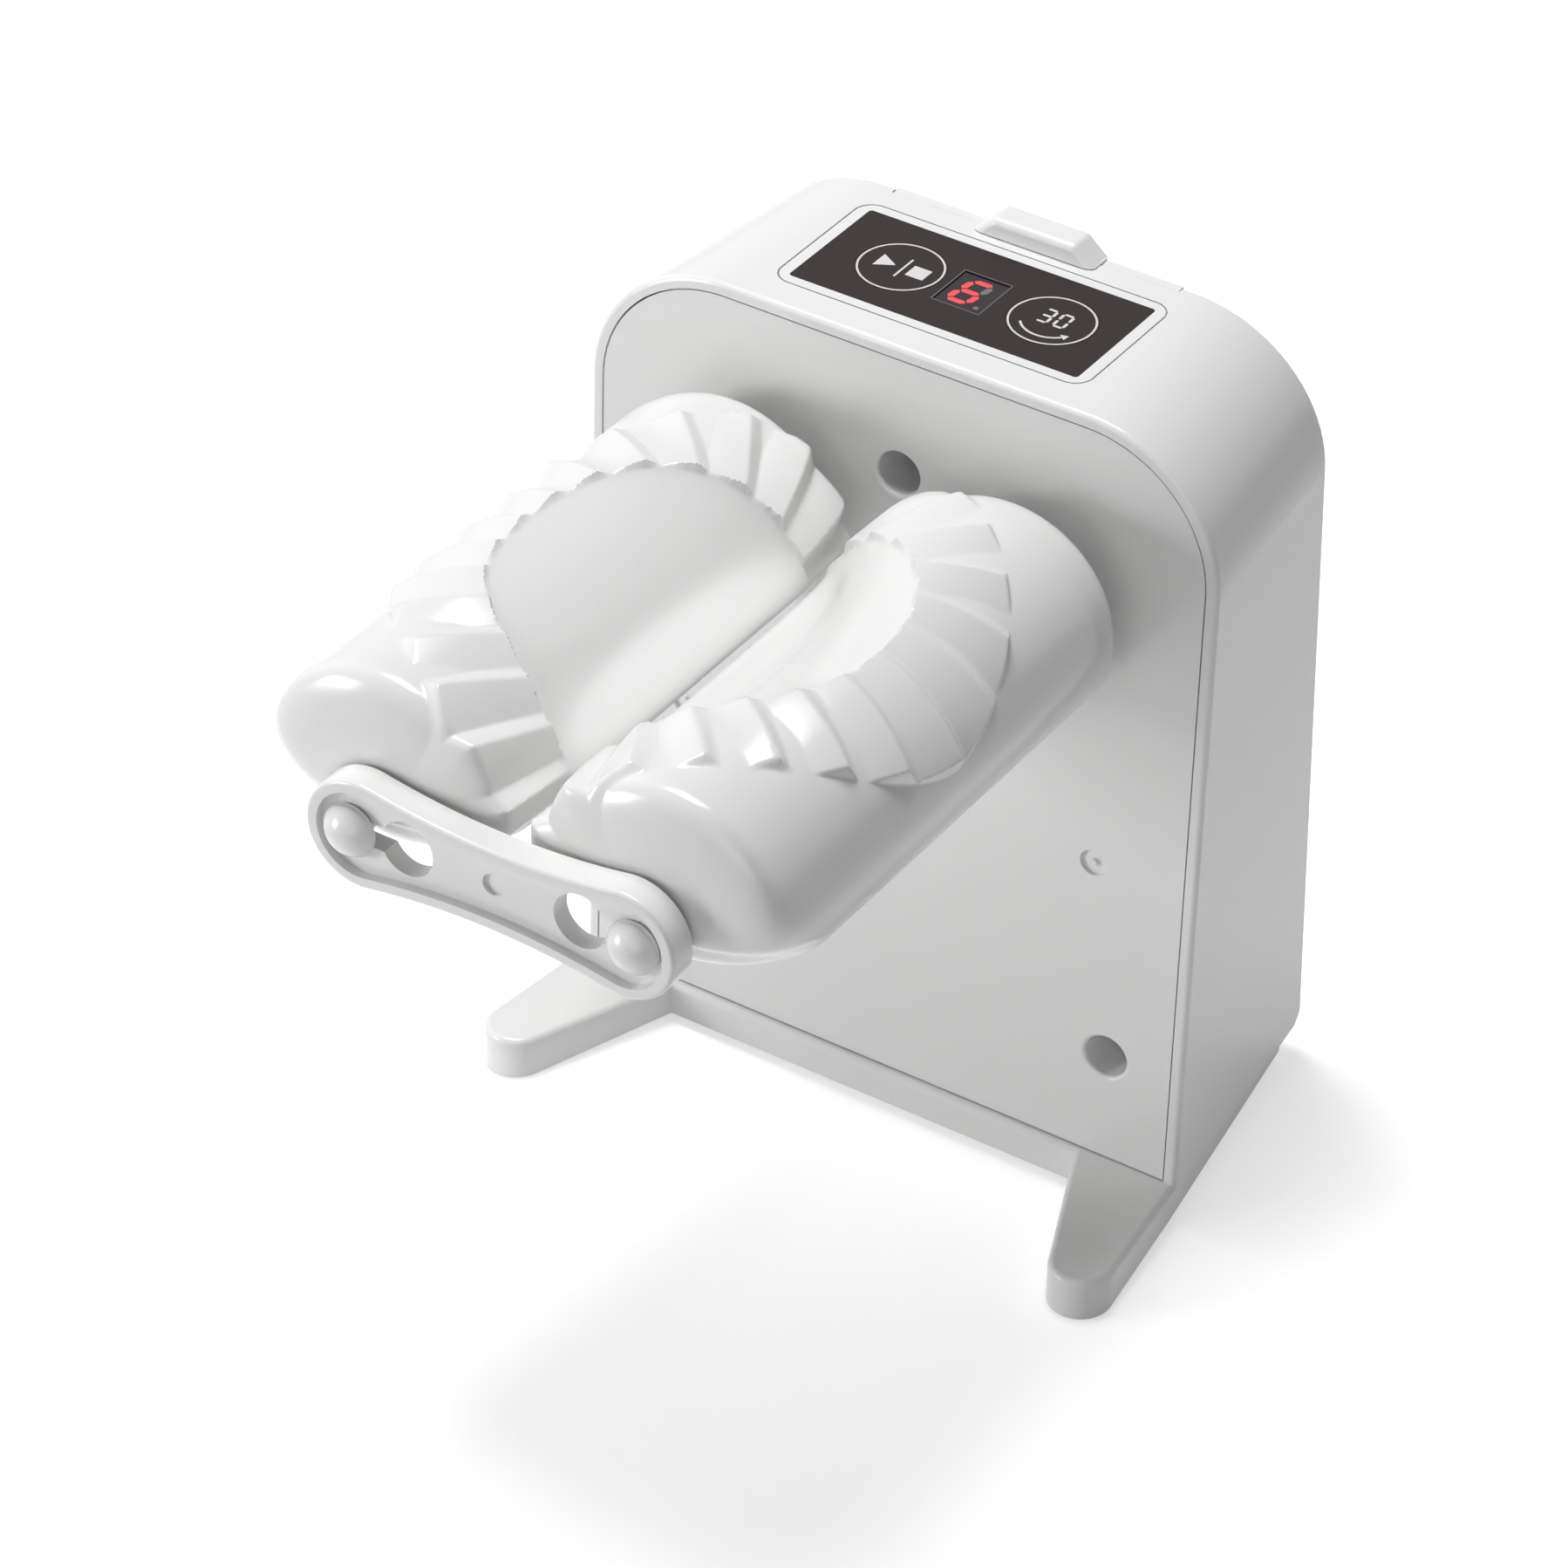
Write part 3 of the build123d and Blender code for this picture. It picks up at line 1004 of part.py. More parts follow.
def write_all():
    """Build every piece and write it."""
    save("housing", make_housing())
    save("front_panel", make_front_panel())
    seat = SCREW_WELL_END
    save("panel_screws", Compound(children=[
        make_screw(x, z, SCREW_R, SCREW_HEAD_R, SCREW_HEAD_T, seat, SCREW_SEAT + SCREW_BITE - GAP, 1)
        for x, z in front_screw_places()]))
    save("rubber_feet", make_pads())

    save("control_bezel", make_bezel())
    save("label_film", make_label())
    save("led_display", make_display())
    save("control_board", make_board())
    save("board_screws", make_board_screws())
    save("tact_switches", Compound(children=[make_switch(s) for s in (-1, 1)]))
    for name, s in (("left", -1), ("right", 1)):
        save(f"key_face_{name}", make_key_face(s))
        save(f"key_stem_{name}", make_key_stem(s))

    save("gear_plate", make_gear_plate())
    save("plate_screws", Compound(children=[
        make_screw(
            x, z, PLATE_SCREW_R, PLATE_SCREW_HEAD_R, PLATE_SCREW_HEAD_T, PLATE_BACK,
            PLATE_SCREW_L + PLATE_T - GAP, -1)
        for x, z in PILLARS]))
    save("front_bushes", Compound(children=[make_front_bush(s) for s in (-1, 1)]))
    save("rear_bushes", Compound(children=[make_rear_bush(s) for s in (-1, 1)]))
    save("shaft_seals", Compound(children=[make_seal(s) for s in (-1, 1)]))
    save("gear_pins", Compound(children=[
        rod(x, z, PIN_R, PANEL_BACK - PIN_SINK + GAP, PLATE_BACK) for x, z in pin_places()]))

    round_hole = Circle(PIN_R + RUN)
    flat_hole = d_hole(SHAFT_R + FIT, SHAFT_FLAT + FIT)
    hub_end = PLATE_Y - BUSH_FLANGE_T - GAP
    for name, x, first in (("left", -HALF_S, 0), ("right", HALF_S, 180 + TOOTH_STEP / 2)):
        gear = make_gear(OUT_TEETH, first, x, AXIS_Z, GEAR_A, flat_hole)
        save(f"output_gear_{name}", gear + make_hub(OUT_HUB_R, x, AXIS_Z, GEAR_A[1], hub_end, flat_hole))
    hub_end = PLATE_Y - GAP
    for name, x, first in (("left", -IDLER_X, 180 + 180 / IDLER_TEETH), ("right", IDLER_X, 180)):
        gear = make_gear(IDLER_TEETH, first, x, AXIS_Z, GEAR_A, round_hole)
        save(f"idler_gear_{name}", gear + make_hub(PIN_HUB_R, x, AXIS_Z, GEAR_A[1], hub_end, round_hole))
    small_first = TRAIN_TURN + 180 + 180 / SMALL_TEETH
    small = make_gear(SMALL_TEETH, small_first, REDUCTION_X, REDUCTION_Z, (GEAR_A[0], GEAR_B[0]), round_hole)
    big = make_gear(BIG_TEETH, -90, REDUCTION_X, REDUCTION_Z, GEAR_B, round_hole)
    hub = make_hub(PIN_HUB_R, REDUCTION_X, REDUCTION_Z, GEAR_B[1], hub_end, round_hole)
    save("reduction_gear", small + big + hub)
    save("motor_pinion", make_gear(
        PINION_TEETH, 90 + 180 / PINION_TEETH, REDUCTION_X, PINION_Z, GEAR_B,
        d_hole(MOTOR_SHAFT_R + FIT, MOTOR_SHAFT_FLAT + FIT)))
    for name, s in (("left", -1), ("right", 1)):
        save(f"drive_shaft_{name}", make_drive_shaft(s))
        save(f"shaft_clip_{name}", make_clip(s))

    save("gearmotor_case", make_gearmotor_case())
    save("gearmotor_cover", make_gearmotor_cover())
    save("gearmotor_shaft", make_gearmotor_shaft())
    save("gearmotor_screws", Compound(children=[
        make_screw(x, z, PLATE_SCREW_R, PLATE_SCREW_HEAD_R, PLATE_SCREW_HEAD_T / 2, PLATE_Y,
                   PLATE_T + PLATE_SCREW_L - GAP, 1)
        for x, z in motor_screw_places()]))
    save("motor_can", make_motor_can())
    save("motor_end_cap", make_motor_cap())
    save("motor_terminals", make_terminals())
    save("motor_wires", make_wires())

    left, right = make_mould_pair()
    save("mould_left", left)
    save("mould_right", right)
    save("link_bar", make_link_bar())

    save("battery_door", make_door())
    save("battery_cells", make_cells())
    save("contact_plates", make_contacts())
    save("contact_springs", make_springs())


write_all()
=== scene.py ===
import math
import bpy
import numpy as np
from mathutils import Matrix, Vector


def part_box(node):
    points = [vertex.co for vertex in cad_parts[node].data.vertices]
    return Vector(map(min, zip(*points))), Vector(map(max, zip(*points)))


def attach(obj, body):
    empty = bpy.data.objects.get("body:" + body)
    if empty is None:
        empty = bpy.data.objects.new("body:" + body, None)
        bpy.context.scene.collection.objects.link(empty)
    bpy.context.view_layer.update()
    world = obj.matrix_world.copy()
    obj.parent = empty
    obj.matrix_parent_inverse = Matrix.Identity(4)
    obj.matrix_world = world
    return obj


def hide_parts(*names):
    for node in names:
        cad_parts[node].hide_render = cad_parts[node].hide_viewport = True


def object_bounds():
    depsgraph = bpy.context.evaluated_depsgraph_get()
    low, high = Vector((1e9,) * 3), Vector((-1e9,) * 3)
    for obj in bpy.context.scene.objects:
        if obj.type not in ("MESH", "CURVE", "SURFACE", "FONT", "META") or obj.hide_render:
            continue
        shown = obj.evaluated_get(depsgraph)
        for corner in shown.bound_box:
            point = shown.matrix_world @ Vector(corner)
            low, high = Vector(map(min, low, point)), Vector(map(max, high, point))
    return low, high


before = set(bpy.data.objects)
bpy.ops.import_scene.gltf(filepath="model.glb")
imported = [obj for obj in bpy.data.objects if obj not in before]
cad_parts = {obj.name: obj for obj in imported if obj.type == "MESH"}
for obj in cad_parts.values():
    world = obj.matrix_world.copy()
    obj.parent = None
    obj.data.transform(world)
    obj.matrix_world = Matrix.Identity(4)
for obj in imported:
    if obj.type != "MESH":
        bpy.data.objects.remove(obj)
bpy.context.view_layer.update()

MM = 0.001


# Housing: one moulding in glossy white ABS, with its base, two splayed feet, screw posts and
# battery pocket. The mould is polished, so the skin is glossy with a barely uneven reflection.
HOUSING_WHITE = (0.83, 0.83, 0.825)
HOUSING_GLOSS = 0.22
PLASTIC_IOR = 1.5
COAT_GLOSS = 0.08
CLOUD_SCALE = 220.0                         # noise cells per metre in the gloss of a moulding
CLOUD_DETAIL = 2.0
GRAIN_SCALE = 1500.0                        # the same in the relief of a matt one
GRAIN_HEIGHT = 0.05 * MM


def moulded_plastic(name, colour, roughness, coat=0.0, uneven=0.012, grain=0.0):
    """Moulded plastic: noise on Object coordinates varies the roughness, and finer noise the
    relief."""
    material = bpy.data.materials.new(name)
    material.use_nodes = True
    tree = material.node_tree
    skin = tree.nodes["Principled BSDF"]
    skin.inputs["Base Color"].default_value = (*colour, 1.0)
    skin.inputs["IOR"].default_value = PLASTIC_IOR
    skin.inputs["Coat Weight"].default_value = coat
    skin.inputs["Coat Roughness"].default_value = COAT_GLOSS
    place = tree.nodes.new("ShaderNodeTexCoord")
    cloud = tree.nodes.new("ShaderNodeTexNoise")
    cloud.inputs["Scale"].default_value = CLOUD_SCALE
    cloud.inputs["Detail"].default_value = CLOUD_DETAIL
    spread = tree.nodes.new("ShaderNodeMapRange")
    spread.inputs["To Min"].default_value = roughness - uneven
    spread.inputs["To Max"].default_value = roughness + uneven
    tree.links.new(place.outputs["Object"], cloud.inputs["Vector"])
    tree.links.new(cloud.outputs["Fac"], spread.inputs["Value"])
    tree.links.new(spread.outputs["Result"], skin.inputs["Roughness"])
    if grain > 0.0:
        fine = tree.nodes.new("ShaderNodeTexNoise")
        fine.inputs["Scale"].default_value = GRAIN_SCALE
        relief = tree.nodes.new("ShaderNodeBump")
        relief.inputs["Strength"].default_value = grain
        relief.inputs["Distance"].default_value = GRAIN_HEIGHT
        tree.links.new(place.outputs["Object"], fine.inputs["Vector"])
        tree.links.new(fine.outputs["Fac"], relief.inputs["Height"])
        tree.links.new(relief.outputs["Normal"], skin.inputs["Normal"])
    return material


def finish_nodes(material, *names):
    """Gives solids of the frame a finer material."""
    for name in names:
        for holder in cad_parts[name].material_slots:
            holder.material = material


housing_white = moulded_plastic("polished_white_ABS", HOUSING_WHITE, HOUSING_GLOSS)
finish_nodes(housing_white, "housing", "battery_door")


# Front panel: an insert of the same ABS, flush in the housing's rim, with a thin seam all round it.
# Three steel screws hold it from the front, deep in round wells.
PANEL_GLOSS = 0.26
panel_white = moulded_plastic("white_ABS_insert", HOUSING_WHITE, PANEL_GLOSS)
finish_nodes(panel_white, "front_panel")
METAL_MARKS = 400.0                         # noise cells per metre in the gloss of a metal


def steel(name, colour, roughness, streaks=(1.0, 1.0, 1.0), uneven=0.06):
    """Bare metal: noise on Object coordinates, drawn out along one direction, varies the
    roughness."""
    material = bpy.data.materials.new(name)
    material.use_nodes = True
    tree = material.node_tree
    skin = tree.nodes["Principled BSDF"]
    skin.inputs["Base Color"].default_value = (*colour, 1.0)
    skin.inputs["Metallic"].default_value = 1.0
    place = tree.nodes.new("ShaderNodeTexCoord")
    draw = tree.nodes.new("ShaderNodeMapping")
    draw.inputs["Scale"].default_value = streaks
    marks = tree.nodes.new("ShaderNodeTexNoise")
    marks.inputs["Scale"].default_value = METAL_MARKS
    spread = tree.nodes.new("ShaderNodeMapRange")
    spread.inputs["To Min"].default_value = roughness - uneven
    spread.inputs["To Max"].default_value = roughness + uneven
    tree.links.new(place.outputs["Object"], draw.inputs["Vector"])
    tree.links.new(draw.outputs["Vector"], marks.inputs["Vector"])
    tree.links.new(marks.outputs["Fac"], spread.inputs["Value"])
    tree.links.new(spread.outputs["Result"], skin.inputs["Roughness"])
    return material


screw_steel = steel("zinc_plated_steel", (0.55, 0.55, 0.56), 0.34)
finish_nodes(screw_steel, "panel_screws", "plate_screws", "board_screws", "gearmotor_screws")


# Rubber feet: four round pads pressed into seats in small bosses under the base. The seals where
# the shafts leave the front panel are of the same rubber.
rubber = moulded_plastic("grey_rubber", (0.1, 0.1, 0.1), 0.72, uneven=0.06, grain=0.5)
finish_nodes(rubber, "rubber_feet", "shaft_seals")


# Gear train: acetal gears between the front panel and a zinc-plated steel plate. They turn on fixed
# steel pins and on two steel shafts, which run in brass bushes and end in a hexagon for the moulds.
acetal = moulded_plastic("natural_acetal", (0.8, 0.78, 0.72), 0.42)
finish_nodes(acetal, "output_gear_left", "output_gear_right", "idler_gear_left",
             "idler_gear_right", "reduction_gear")
plate_steel = steel("rolled_plate", (0.6, 0.6, 0.59), 0.38, streaks=(1.0, 1.0, 0.06))
finish_nodes(plate_steel, "gear_plate")
shaft_steel = steel("ground_shaft", (0.62, 0.62, 0.63), 0.24, streaks=(1.0, 0.2, 1.0))
finish_nodes(shaft_steel, "drive_shaft_left", "drive_shaft_right", "gear_pins",
             "gearmotor_shaft", "shaft_clip_left", "shaft_clip_right")
brass = steel("turned_brass", (0.72, 0.53, 0.24), 0.3)
finish_nodes(brass, "front_bushes", "rear_bushes", "motor_pinion")


# Gearmotor: a bought-in unit with a grey nylon gearhead, a drawn steel motor can, a black end cap
# and two solder tabs, from which a pair of leads runs up to the control board.
nylon_grey = moulded_plastic("grey_nylon", (0.22, 0.22, 0.23), 0.5, grain=0.4)
finish_nodes(nylon_grey, "gearmotor_case", "gearmotor_cover")
can_steel = steel("drawn_motor_can", (0.6, 0.61, 0.62), 0.28, streaks=(1.0, 1.0, 0.08))
finish_nodes(can_steel, "motor_can")
black_nylon = moulded_plastic("black_nylon", (0.02, 0.02, 0.02), 0.5)
finish_nodes(black_nylon, "motor_end_cap", "tact_switches")
nickel = steel("nickel_plate", (0.75, 0.73, 0.68), 0.26)
finish_nodes(nickel, "motor_terminals", "contact_plates")
lead_red = moulded_plastic("lead_jacket", (0.5, 0.03, 0.03), 0.42)
finish_nodes(lead_red, "motor_wires")


# Roller moulds: two food-safe white plastic cores, each with a half-dumpling bowl and a band of
# pleats round it. They push onto the shafts' hexagons, are hollow from behind with four ribs round
# the hub, and end in front in a neck with a domed head.
MOULD_WHITE = (0.83, 0.83, 0.825)
MOULD_GLOSS = 0.2
shaft_low, shaft_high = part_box("drive_shaft_left")
mould_low, mould_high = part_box("mould_left")
AXIS_X = -(shaft_low.x + shaft_high.x) / 2
AXIS_Z = (shaft_low.z + shaft_high.z) / 2
REAR_Y = mould_high.y                       # rear end of the moulds
HEAD_TIP_Y = mould_low.y
HEAD_ROOM = 10.2 * MM                       # a head's tip to the front end of the body
FRONT_Y = HEAD_TIP_Y + HEAD_ROOM
BOWL_AHEAD = 62.0 * MM
BOWL_MID_Y = REAR_Y - BOWL_AHEAD
CORE_R = 24.5 * MM
CORE_MORE = 4.6 * MM                        # the core is fuller above than below
CORE_TURN = -10.0                           # degrees from straight up, positive towards the nip
BAND_R = 28.5 * MM                          # cylinder on which the bowl's outline is laid out
NIP_GAP = 0.4 * MM
TOP_R = AXIS_X - NIP_GAP                    # no mould passes the middle plane
LIP_ANGLE = 80.0
LIP_W = 7.0 * MM
LIP_BACK = 4.0 * MM
RIDGE_R = 30.9 * MM
RIM_DROP = 1.2 * MM
BOWL_HALF_L = 40.5 * MM
BOWL_REACH = 47.4 * MM
BOWL_POWER = 2.3                            # a fuller outline than an ellipse
BOWL_DEPTH = 9.5 * MM
BOWL_DIP_POWER = 0.75
BAND_HALF_L = 70.2 * MM                     # the band runs off both ends near the nip
BAND_REACH = 74.7 * MM
BAND_POWER = 1.48                           # a leaner outline than an ellipse
BAND_END_L = 4.5 * MM
BAND_END_N = 3.0
PLEAT_LOW = 1.4 * MM
PLEAT_HIGH = 2.9 * MM
PLEATS = 15
PLEAT_RISE = 0.72
PLEAT_START = 2.0
FRONT_TOP_L = 7.0 * MM
FRONT_LOW_L = 26.0 * MM
FRONT_TOP_N = 3.2
FRONT_LOW_N = 1.4
FRONT_SIDES = 3.5
WALL_SLOPE = 1.3
REAR_L = 12.0 * MM
REAR_DROP = 5.5 * MM
NECK_R = 2.65 * MM
HEAD_R = 5.6 * MM
HEAD_L = 4.6 * MM
HEAD_BACK_Y = HEAD_TIP_Y + HEAD_L
HEAD_SPHERE_R = 6.4 * MM
HEAD_SOFT = 0.5 * MM                        # soft edge round a head's flat back
HUB_R = 8.5 * MM
HOLLOW_R = 16.5 * MM
HOLLOW_L = 99.0 * MM
HOLLOW_END_Y = REAR_Y - HOLLOW_L
RIB_T = 2.0 * MM
RIB_SINK = 0.3 * MM                         # a rib reaches this far into hub, shell and floor
HEX_HALF = 3.55 * MM                        # half the hexagonal socket across flats
HEX_SIDE = 60.0                             # degrees that one flat takes up
SOCKET_L = 26.4 * MM
SOCKET_END_Y = REAR_Y - SOCKET_L
PLEATED_FROM, PLEATED_TO = -72.0, 100.0     # degrees, with the closest columns
PLEATED_COLUMNS, PLAIN_COLUMNS = 215, 75
FRONT_ROWS, MIDDLE_ROWS, REAR_ROWS = 46, 195, 16
FRONT_POLE = 0.03                           # radians, where the rows of the front end begin
HEAD_COLUMNS, DOME_ROWS, EDGE_ROWS = 72, 24, 6
DOME_POLE = 0.02


def smooth(t):
    """Smooth step from 0 to 1: three times the square less twice the cube."""
    t = np.clip(t, 0.0, 1.0)
    return t * t * (3 - 2 * t)


def core_radius(angle):
    """Plain skin of a mould: CORE_R plus a hyperbolic tangent of the cosine of the angle."""
    return CORE_R + CORE_MORE * np.tanh(np.cos(np.radians(angle - CORE_TURN))) / np.tanh(1.0)


def rounded(radius, y, length, power):
    """The front end: a superellipse of that length and power takes the radius to nothing."""
    near = np.clip((FRONT_Y + length - y) / length, 0.0, 1.0)
    return radius * np.clip(1 - near ** power, 0.0, 1.0) ** (1 / power)


def pleat_height(angle):
    """Sawtooth round the bowl: 0 in a valley, a long rise to 1 on a ridge, and a short fall."""
    place = ((angle - PLEAT_START) * PLEATS / 180) % 1.0
    return np.where(place < PLEAT_RISE, place / PLEAT_RISE, (1 - place) / (1 - PLEAT_RISE))


def outline_norm(u, v, power):
    """Superellipse measure: 1 on the outline, less inside it."""
    return (np.abs(u) ** power + v ** power) ** (1 / power)


def mould_radius(angle, y):
    """Skin of a mould as a distance from its axis.

    On the unrolled cylinder of radius BAND_R a half superellipse bounds the bowl and a larger one
    the band. The bowl dips by a power of one less its squared measure. The band is RIDGE_R less a
    sawtooth of the angle round the bowl, whose depth grows outwards, and a sloping wall ends it.
    The core's front end is longer and more domed below than above. The rear end draws in as an
    ellipse.
    """
    upper = 0.5 + 0.5 * np.tanh(FRONT_SIDES * np.cos(np.radians(angle)))
    length = FRONT_LOW_L + (FRONT_TOP_L - FRONT_LOW_L) * upper
    power = FRONT_LOW_N + (FRONT_TOP_N - FRONT_LOW_N) * upper
    core = rounded(core_radius(angle), y, length, power)
    along = np.radians(angle - LIP_ANGLE) * BAND_R
    beside = y - BOWL_MID_Y
    inward = np.maximum(-along, 0.0)
    inner = outline_norm(beside / BOWL_HALF_L, inward / BOWL_REACH, BOWL_POWER)
    outer = outline_norm(beside / BAND_HALF_L, inward / BAND_REACH, BAND_POWER)
    lip = np.exp(-((along / LIP_W) ** 2))
    steep = 1 - np.exp(-((inward / LIP_W) ** 2))
    dip = np.clip(1 - inner ** 2, 0.0, 1.0) ** BOWL_DIP_POWER
    bowl = RIDGE_R - RIM_DROP * (1 - lip) - BOWL_DEPTH * dip * steep
    beyond = np.clip(inner - 1, 0.0, None)
    share = beyond / np.maximum(beyond + np.clip(1 - outer, 0.0, None), 1e-9)
    height = PLEAT_LOW + (PLEAT_HIGH - PLEAT_LOW) * share
    turn = np.degrees(np.arctan2(beside, inward))
    band = rounded(RIDGE_R - height * (1 - pleat_height(turn)), y, BAND_END_L, BAND_END_N)
    wall = core + WALL_SLOPE * BAND_HALF_L * (1 - outer)
    band = np.maximum(core, np.minimum(band, wall))
    skin = np.where(inner < 1.0, bowl, np.where(outer < 1.0, band, core))
    skin = np.where(along > 0.0, skin + (core - skin) * smooth(along / LIP_BACK), skin)
    skin = np.minimum(skin, TOP_R)
    near = np.clip((y - REAR_Y + REAR_L) / REAR_L, 0.0, 1.0)
    return np.maximum(skin - REAR_DROP * upper * (1 - np.sqrt(1 - near ** 2)), NECK_R)


def new_piece(name, places, faces, material):
    """Object at the origin, from its points and faces."""
    mesh = bpy.data.meshes.new(name)
    mesh.from_pydata(places, [], faces)
    mesh.materials.append(material)
    piece = bpy.data.objects.new(name, mesh)
    bpy.context.scene.collection.objects.link(piece)
    return piece


def grid_faces(rows, columns):
    """Four-sided faces of a grid whose columns close into a ring."""
    start = np.arange(rows - 1)[:, None] * columns
    here = np.arange(columns)[None, :]
    there = (here + 1) % columns
    corners = [start + here, start + there, start + columns + there, start + columns + here]
    return np.stack(corners, -1).reshape(-1, 4)


def skin_mesh(name, points, material, sharp=40.0):
    """Closed piece from a grid of points: rows run along it, columns round it, and a pole closes
    each end. Where the faces point inwards on the whole, all are turned round."""
    rows, columns = points.shape[:2]
    poles = np.stack([points[0].mean(0), points[-1].mean(0)])
    places = np.concatenate([points.reshape(-1, 3), poles])
    quads = grid_faces(rows, columns)
    ring = np.arange(columns)
    after = (ring + 1) % columns
    first_pole = np.full(columns, rows * columns)
    front = np.stack([after, ring, first_pole], -1)
    last = (rows - 1) * columns
    back = np.stack([last + ring, last + after, first_pole + 1], -1)
    corner = places[quads]
    cross = np.cross(corner[:, 2] - corner[:, 0], corner[:, 3] - corner[:, 1])
    if (cross * (corner.mean(1) - places.mean(0))).sum() < 0:
        quads, front, back = quads[:, ::-1], front[:, ::-1], back[:, ::-1]
    faces = quads.tolist() + front.tolist() + back.tolist()
    piece = new_piece(name, places.tolist(), faces, material)
    mesh = piece.data
    mesh.polygons.foreach_set("use_smooth", np.ones(len(mesh.polygons), bool))
    mesh.set_sharp_from_angle(angle=math.radians(sharp))
    return piece


def turned(profile, columns, side):
    """Points of a round piece on a mould's axis, from pairs of radius and depth."""
    radius, depth = np.asarray(profile, float).T
    angle = np.linspace(0, 2 * np.pi, columns, endpoint=False)
    x = side * AXIS_X + radius[:, None] * np.sin(angle)
    z = AXIS_Z + radius[:, None] * np.cos(angle)
    return np.stack([x, np.broadcast_to(depth[:, None], x.shape), z], -1)


def mould_body(side):
    """Grid down the skin from the front pole, in through the hollow, over the hub and down the
    socket. The columns lie closer over the pleats. A flat of the socket is HEX_HALF over the
    cosine of the angle from its middle."""
    pleated = np.linspace(PLEATED_FROM, PLEATED_TO, PLEATED_COLUMNS, endpoint=False)
    plain = np.linspace(PLEATED_TO, PLEATED_FROM + 360.0, PLAIN_COLUMNS, endpoint=False)
    angle = np.concatenate([pleated, plain])
    angle = np.where(angle > 180.0, angle - 360.0, angle)
    turn = np.linspace(FRONT_POLE, np.pi / 2, FRONT_ROWS)
    front = FRONT_Y + FRONT_LOW_L * (1 - np.cos(turn))
    middle = np.linspace(front[-1], REAR_Y - REAR_L, MIDDLE_ROWS)[1:]
    rear = REAR_Y - REAR_L * np.cos(np.linspace(0, np.pi / 2, REAR_ROWS)[1:])
    depth = np.concatenate([front, middle, rear])
    radius = mould_radius(angle[None, :], depth[:, None])
    flat = np.cos(np.radians((angle + HEX_SIDE / 2) % HEX_SIDE - HEX_SIDE / 2))
    level = np.ones_like(angle)
    inner = [(HOLLOW_R * level, REAR_Y), (HOLLOW_R * level, HOLLOW_END_Y),
             (HUB_R * level, HOLLOW_END_Y), (HUB_R * level, REAR_Y),
             (HEX_HALF / flat, REAR_Y), (HEX_HALF / flat, SOCKET_END_Y)]
    radius = np.concatenate([radius, np.stack([ring for ring, _ in inner])])
    depth = np.concatenate([depth, [y for _, y in inner]])
    x = side * (AXIS_X - radius * np.sin(np.radians(angle)))
    z = AXIS_Z + radius * np.cos(np.radians(angle))
    return np.stack([x, np.broadcast_to(depth[:, None], x.shape), z], -1)


def mould_head(side):
    """Neck and domed head: a straight neck, a flat back with a soft edge, and a sphere in front."""
    edge = math.asin(HEAD_R / HEAD_SPHERE_R)
    bend = np.linspace(edge, DOME_POLE, DOME_ROWS)
    centre = HEAD_TIP_Y + HEAD_SPHERE_R
    dome = [(HEAD_SPHERE_R * math.sin(b), centre - HEAD_SPHERE_R * math.cos(b)) for b in bend]
    corner = [(HEAD_R - HEAD_SOFT + HEAD_SOFT * math.sin(b),
               HEAD_BACK_Y - HEAD_SOFT + HEAD_SOFT * math.cos(b))
              for b in np.linspace(0, np.pi / 2, EDGE_ROWS)]
    neck = [(NECK_R, FRONT_Y + NECK_R), (NECK_R, HEAD_BACK_Y)]
    return turned(neck + corner + dome, HEAD_COLUMNS, side)


def box_points(low, high):
    """Eight corners of a box."""
    return [(x, y, z) for x in (low[0], high[0]) for y in (low[1], high[1])
            for z in (low[2], high[2])]


def box_mesh(name, boxes, material):
    """One piece from several boxes, each given by two opposite corners."""
    sides = [(0, 1, 3, 2), (4, 6, 7, 5), (0, 4, 5, 1), (2, 3, 7, 6), (0, 2, 6, 4), (1, 5, 7, 3)]
    places = [point for low, high in boxes for point in box_points(low, high)]
    faces = [[8 * k + corner for corner in side] for k in range(len(boxes)) for side in sides]
    return new_piece(name, places, faces, material)


mould_plastic = moulded_plastic("food_safe_white_plastic", MOULD_WHITE, MOULD_GLOSS)
for side, word in ((-1, "left"), (1, "right")):
    body = skin_mesh("mould_" + word + "_body", mould_body(side), mould_plastic)
    head = skin_mesh("mould_" + word + "_head", mould_head(side), mould_plastic)
    middle = (side * AXIS_X, AXIS_Z)
    reach = HOLLOW_R + RIB_SINK
    inside = HUB_R - RIB_SINK
    front, rear = HOLLOW_END_Y - RIB_SINK, REAR_Y - RIB_T
    half = RIB_T / 2
    walls = []
    for way in (-1, 1):
        across = sorted((middle[0] + way * inside, middle[0] + way * reach))
        upright = sorted((middle[1] + way * inside, middle[1] + way * reach))
        walls.append(((across[0], front, middle[1] - half), (across[1], rear, middle[1] + half)))
        walls.append(((middle[0] - half, front, upright[0]), (middle[0] + half, rear, upright[1])))
    ribs = box_mesh("mould_" + word + "_ribs", walls, mould_plastic)
    for piece in (body, head, ribs):
        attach(piece, "mould_" + word)
    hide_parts("mould_" + word)


# Link bar: one moulding of the same plastic with a raised rim. Each keyhole's slot snaps behind a
# mould's head, so the bar keeps the two moulds the right distance apart.
finish_nodes(mould_plastic, "link_bar")


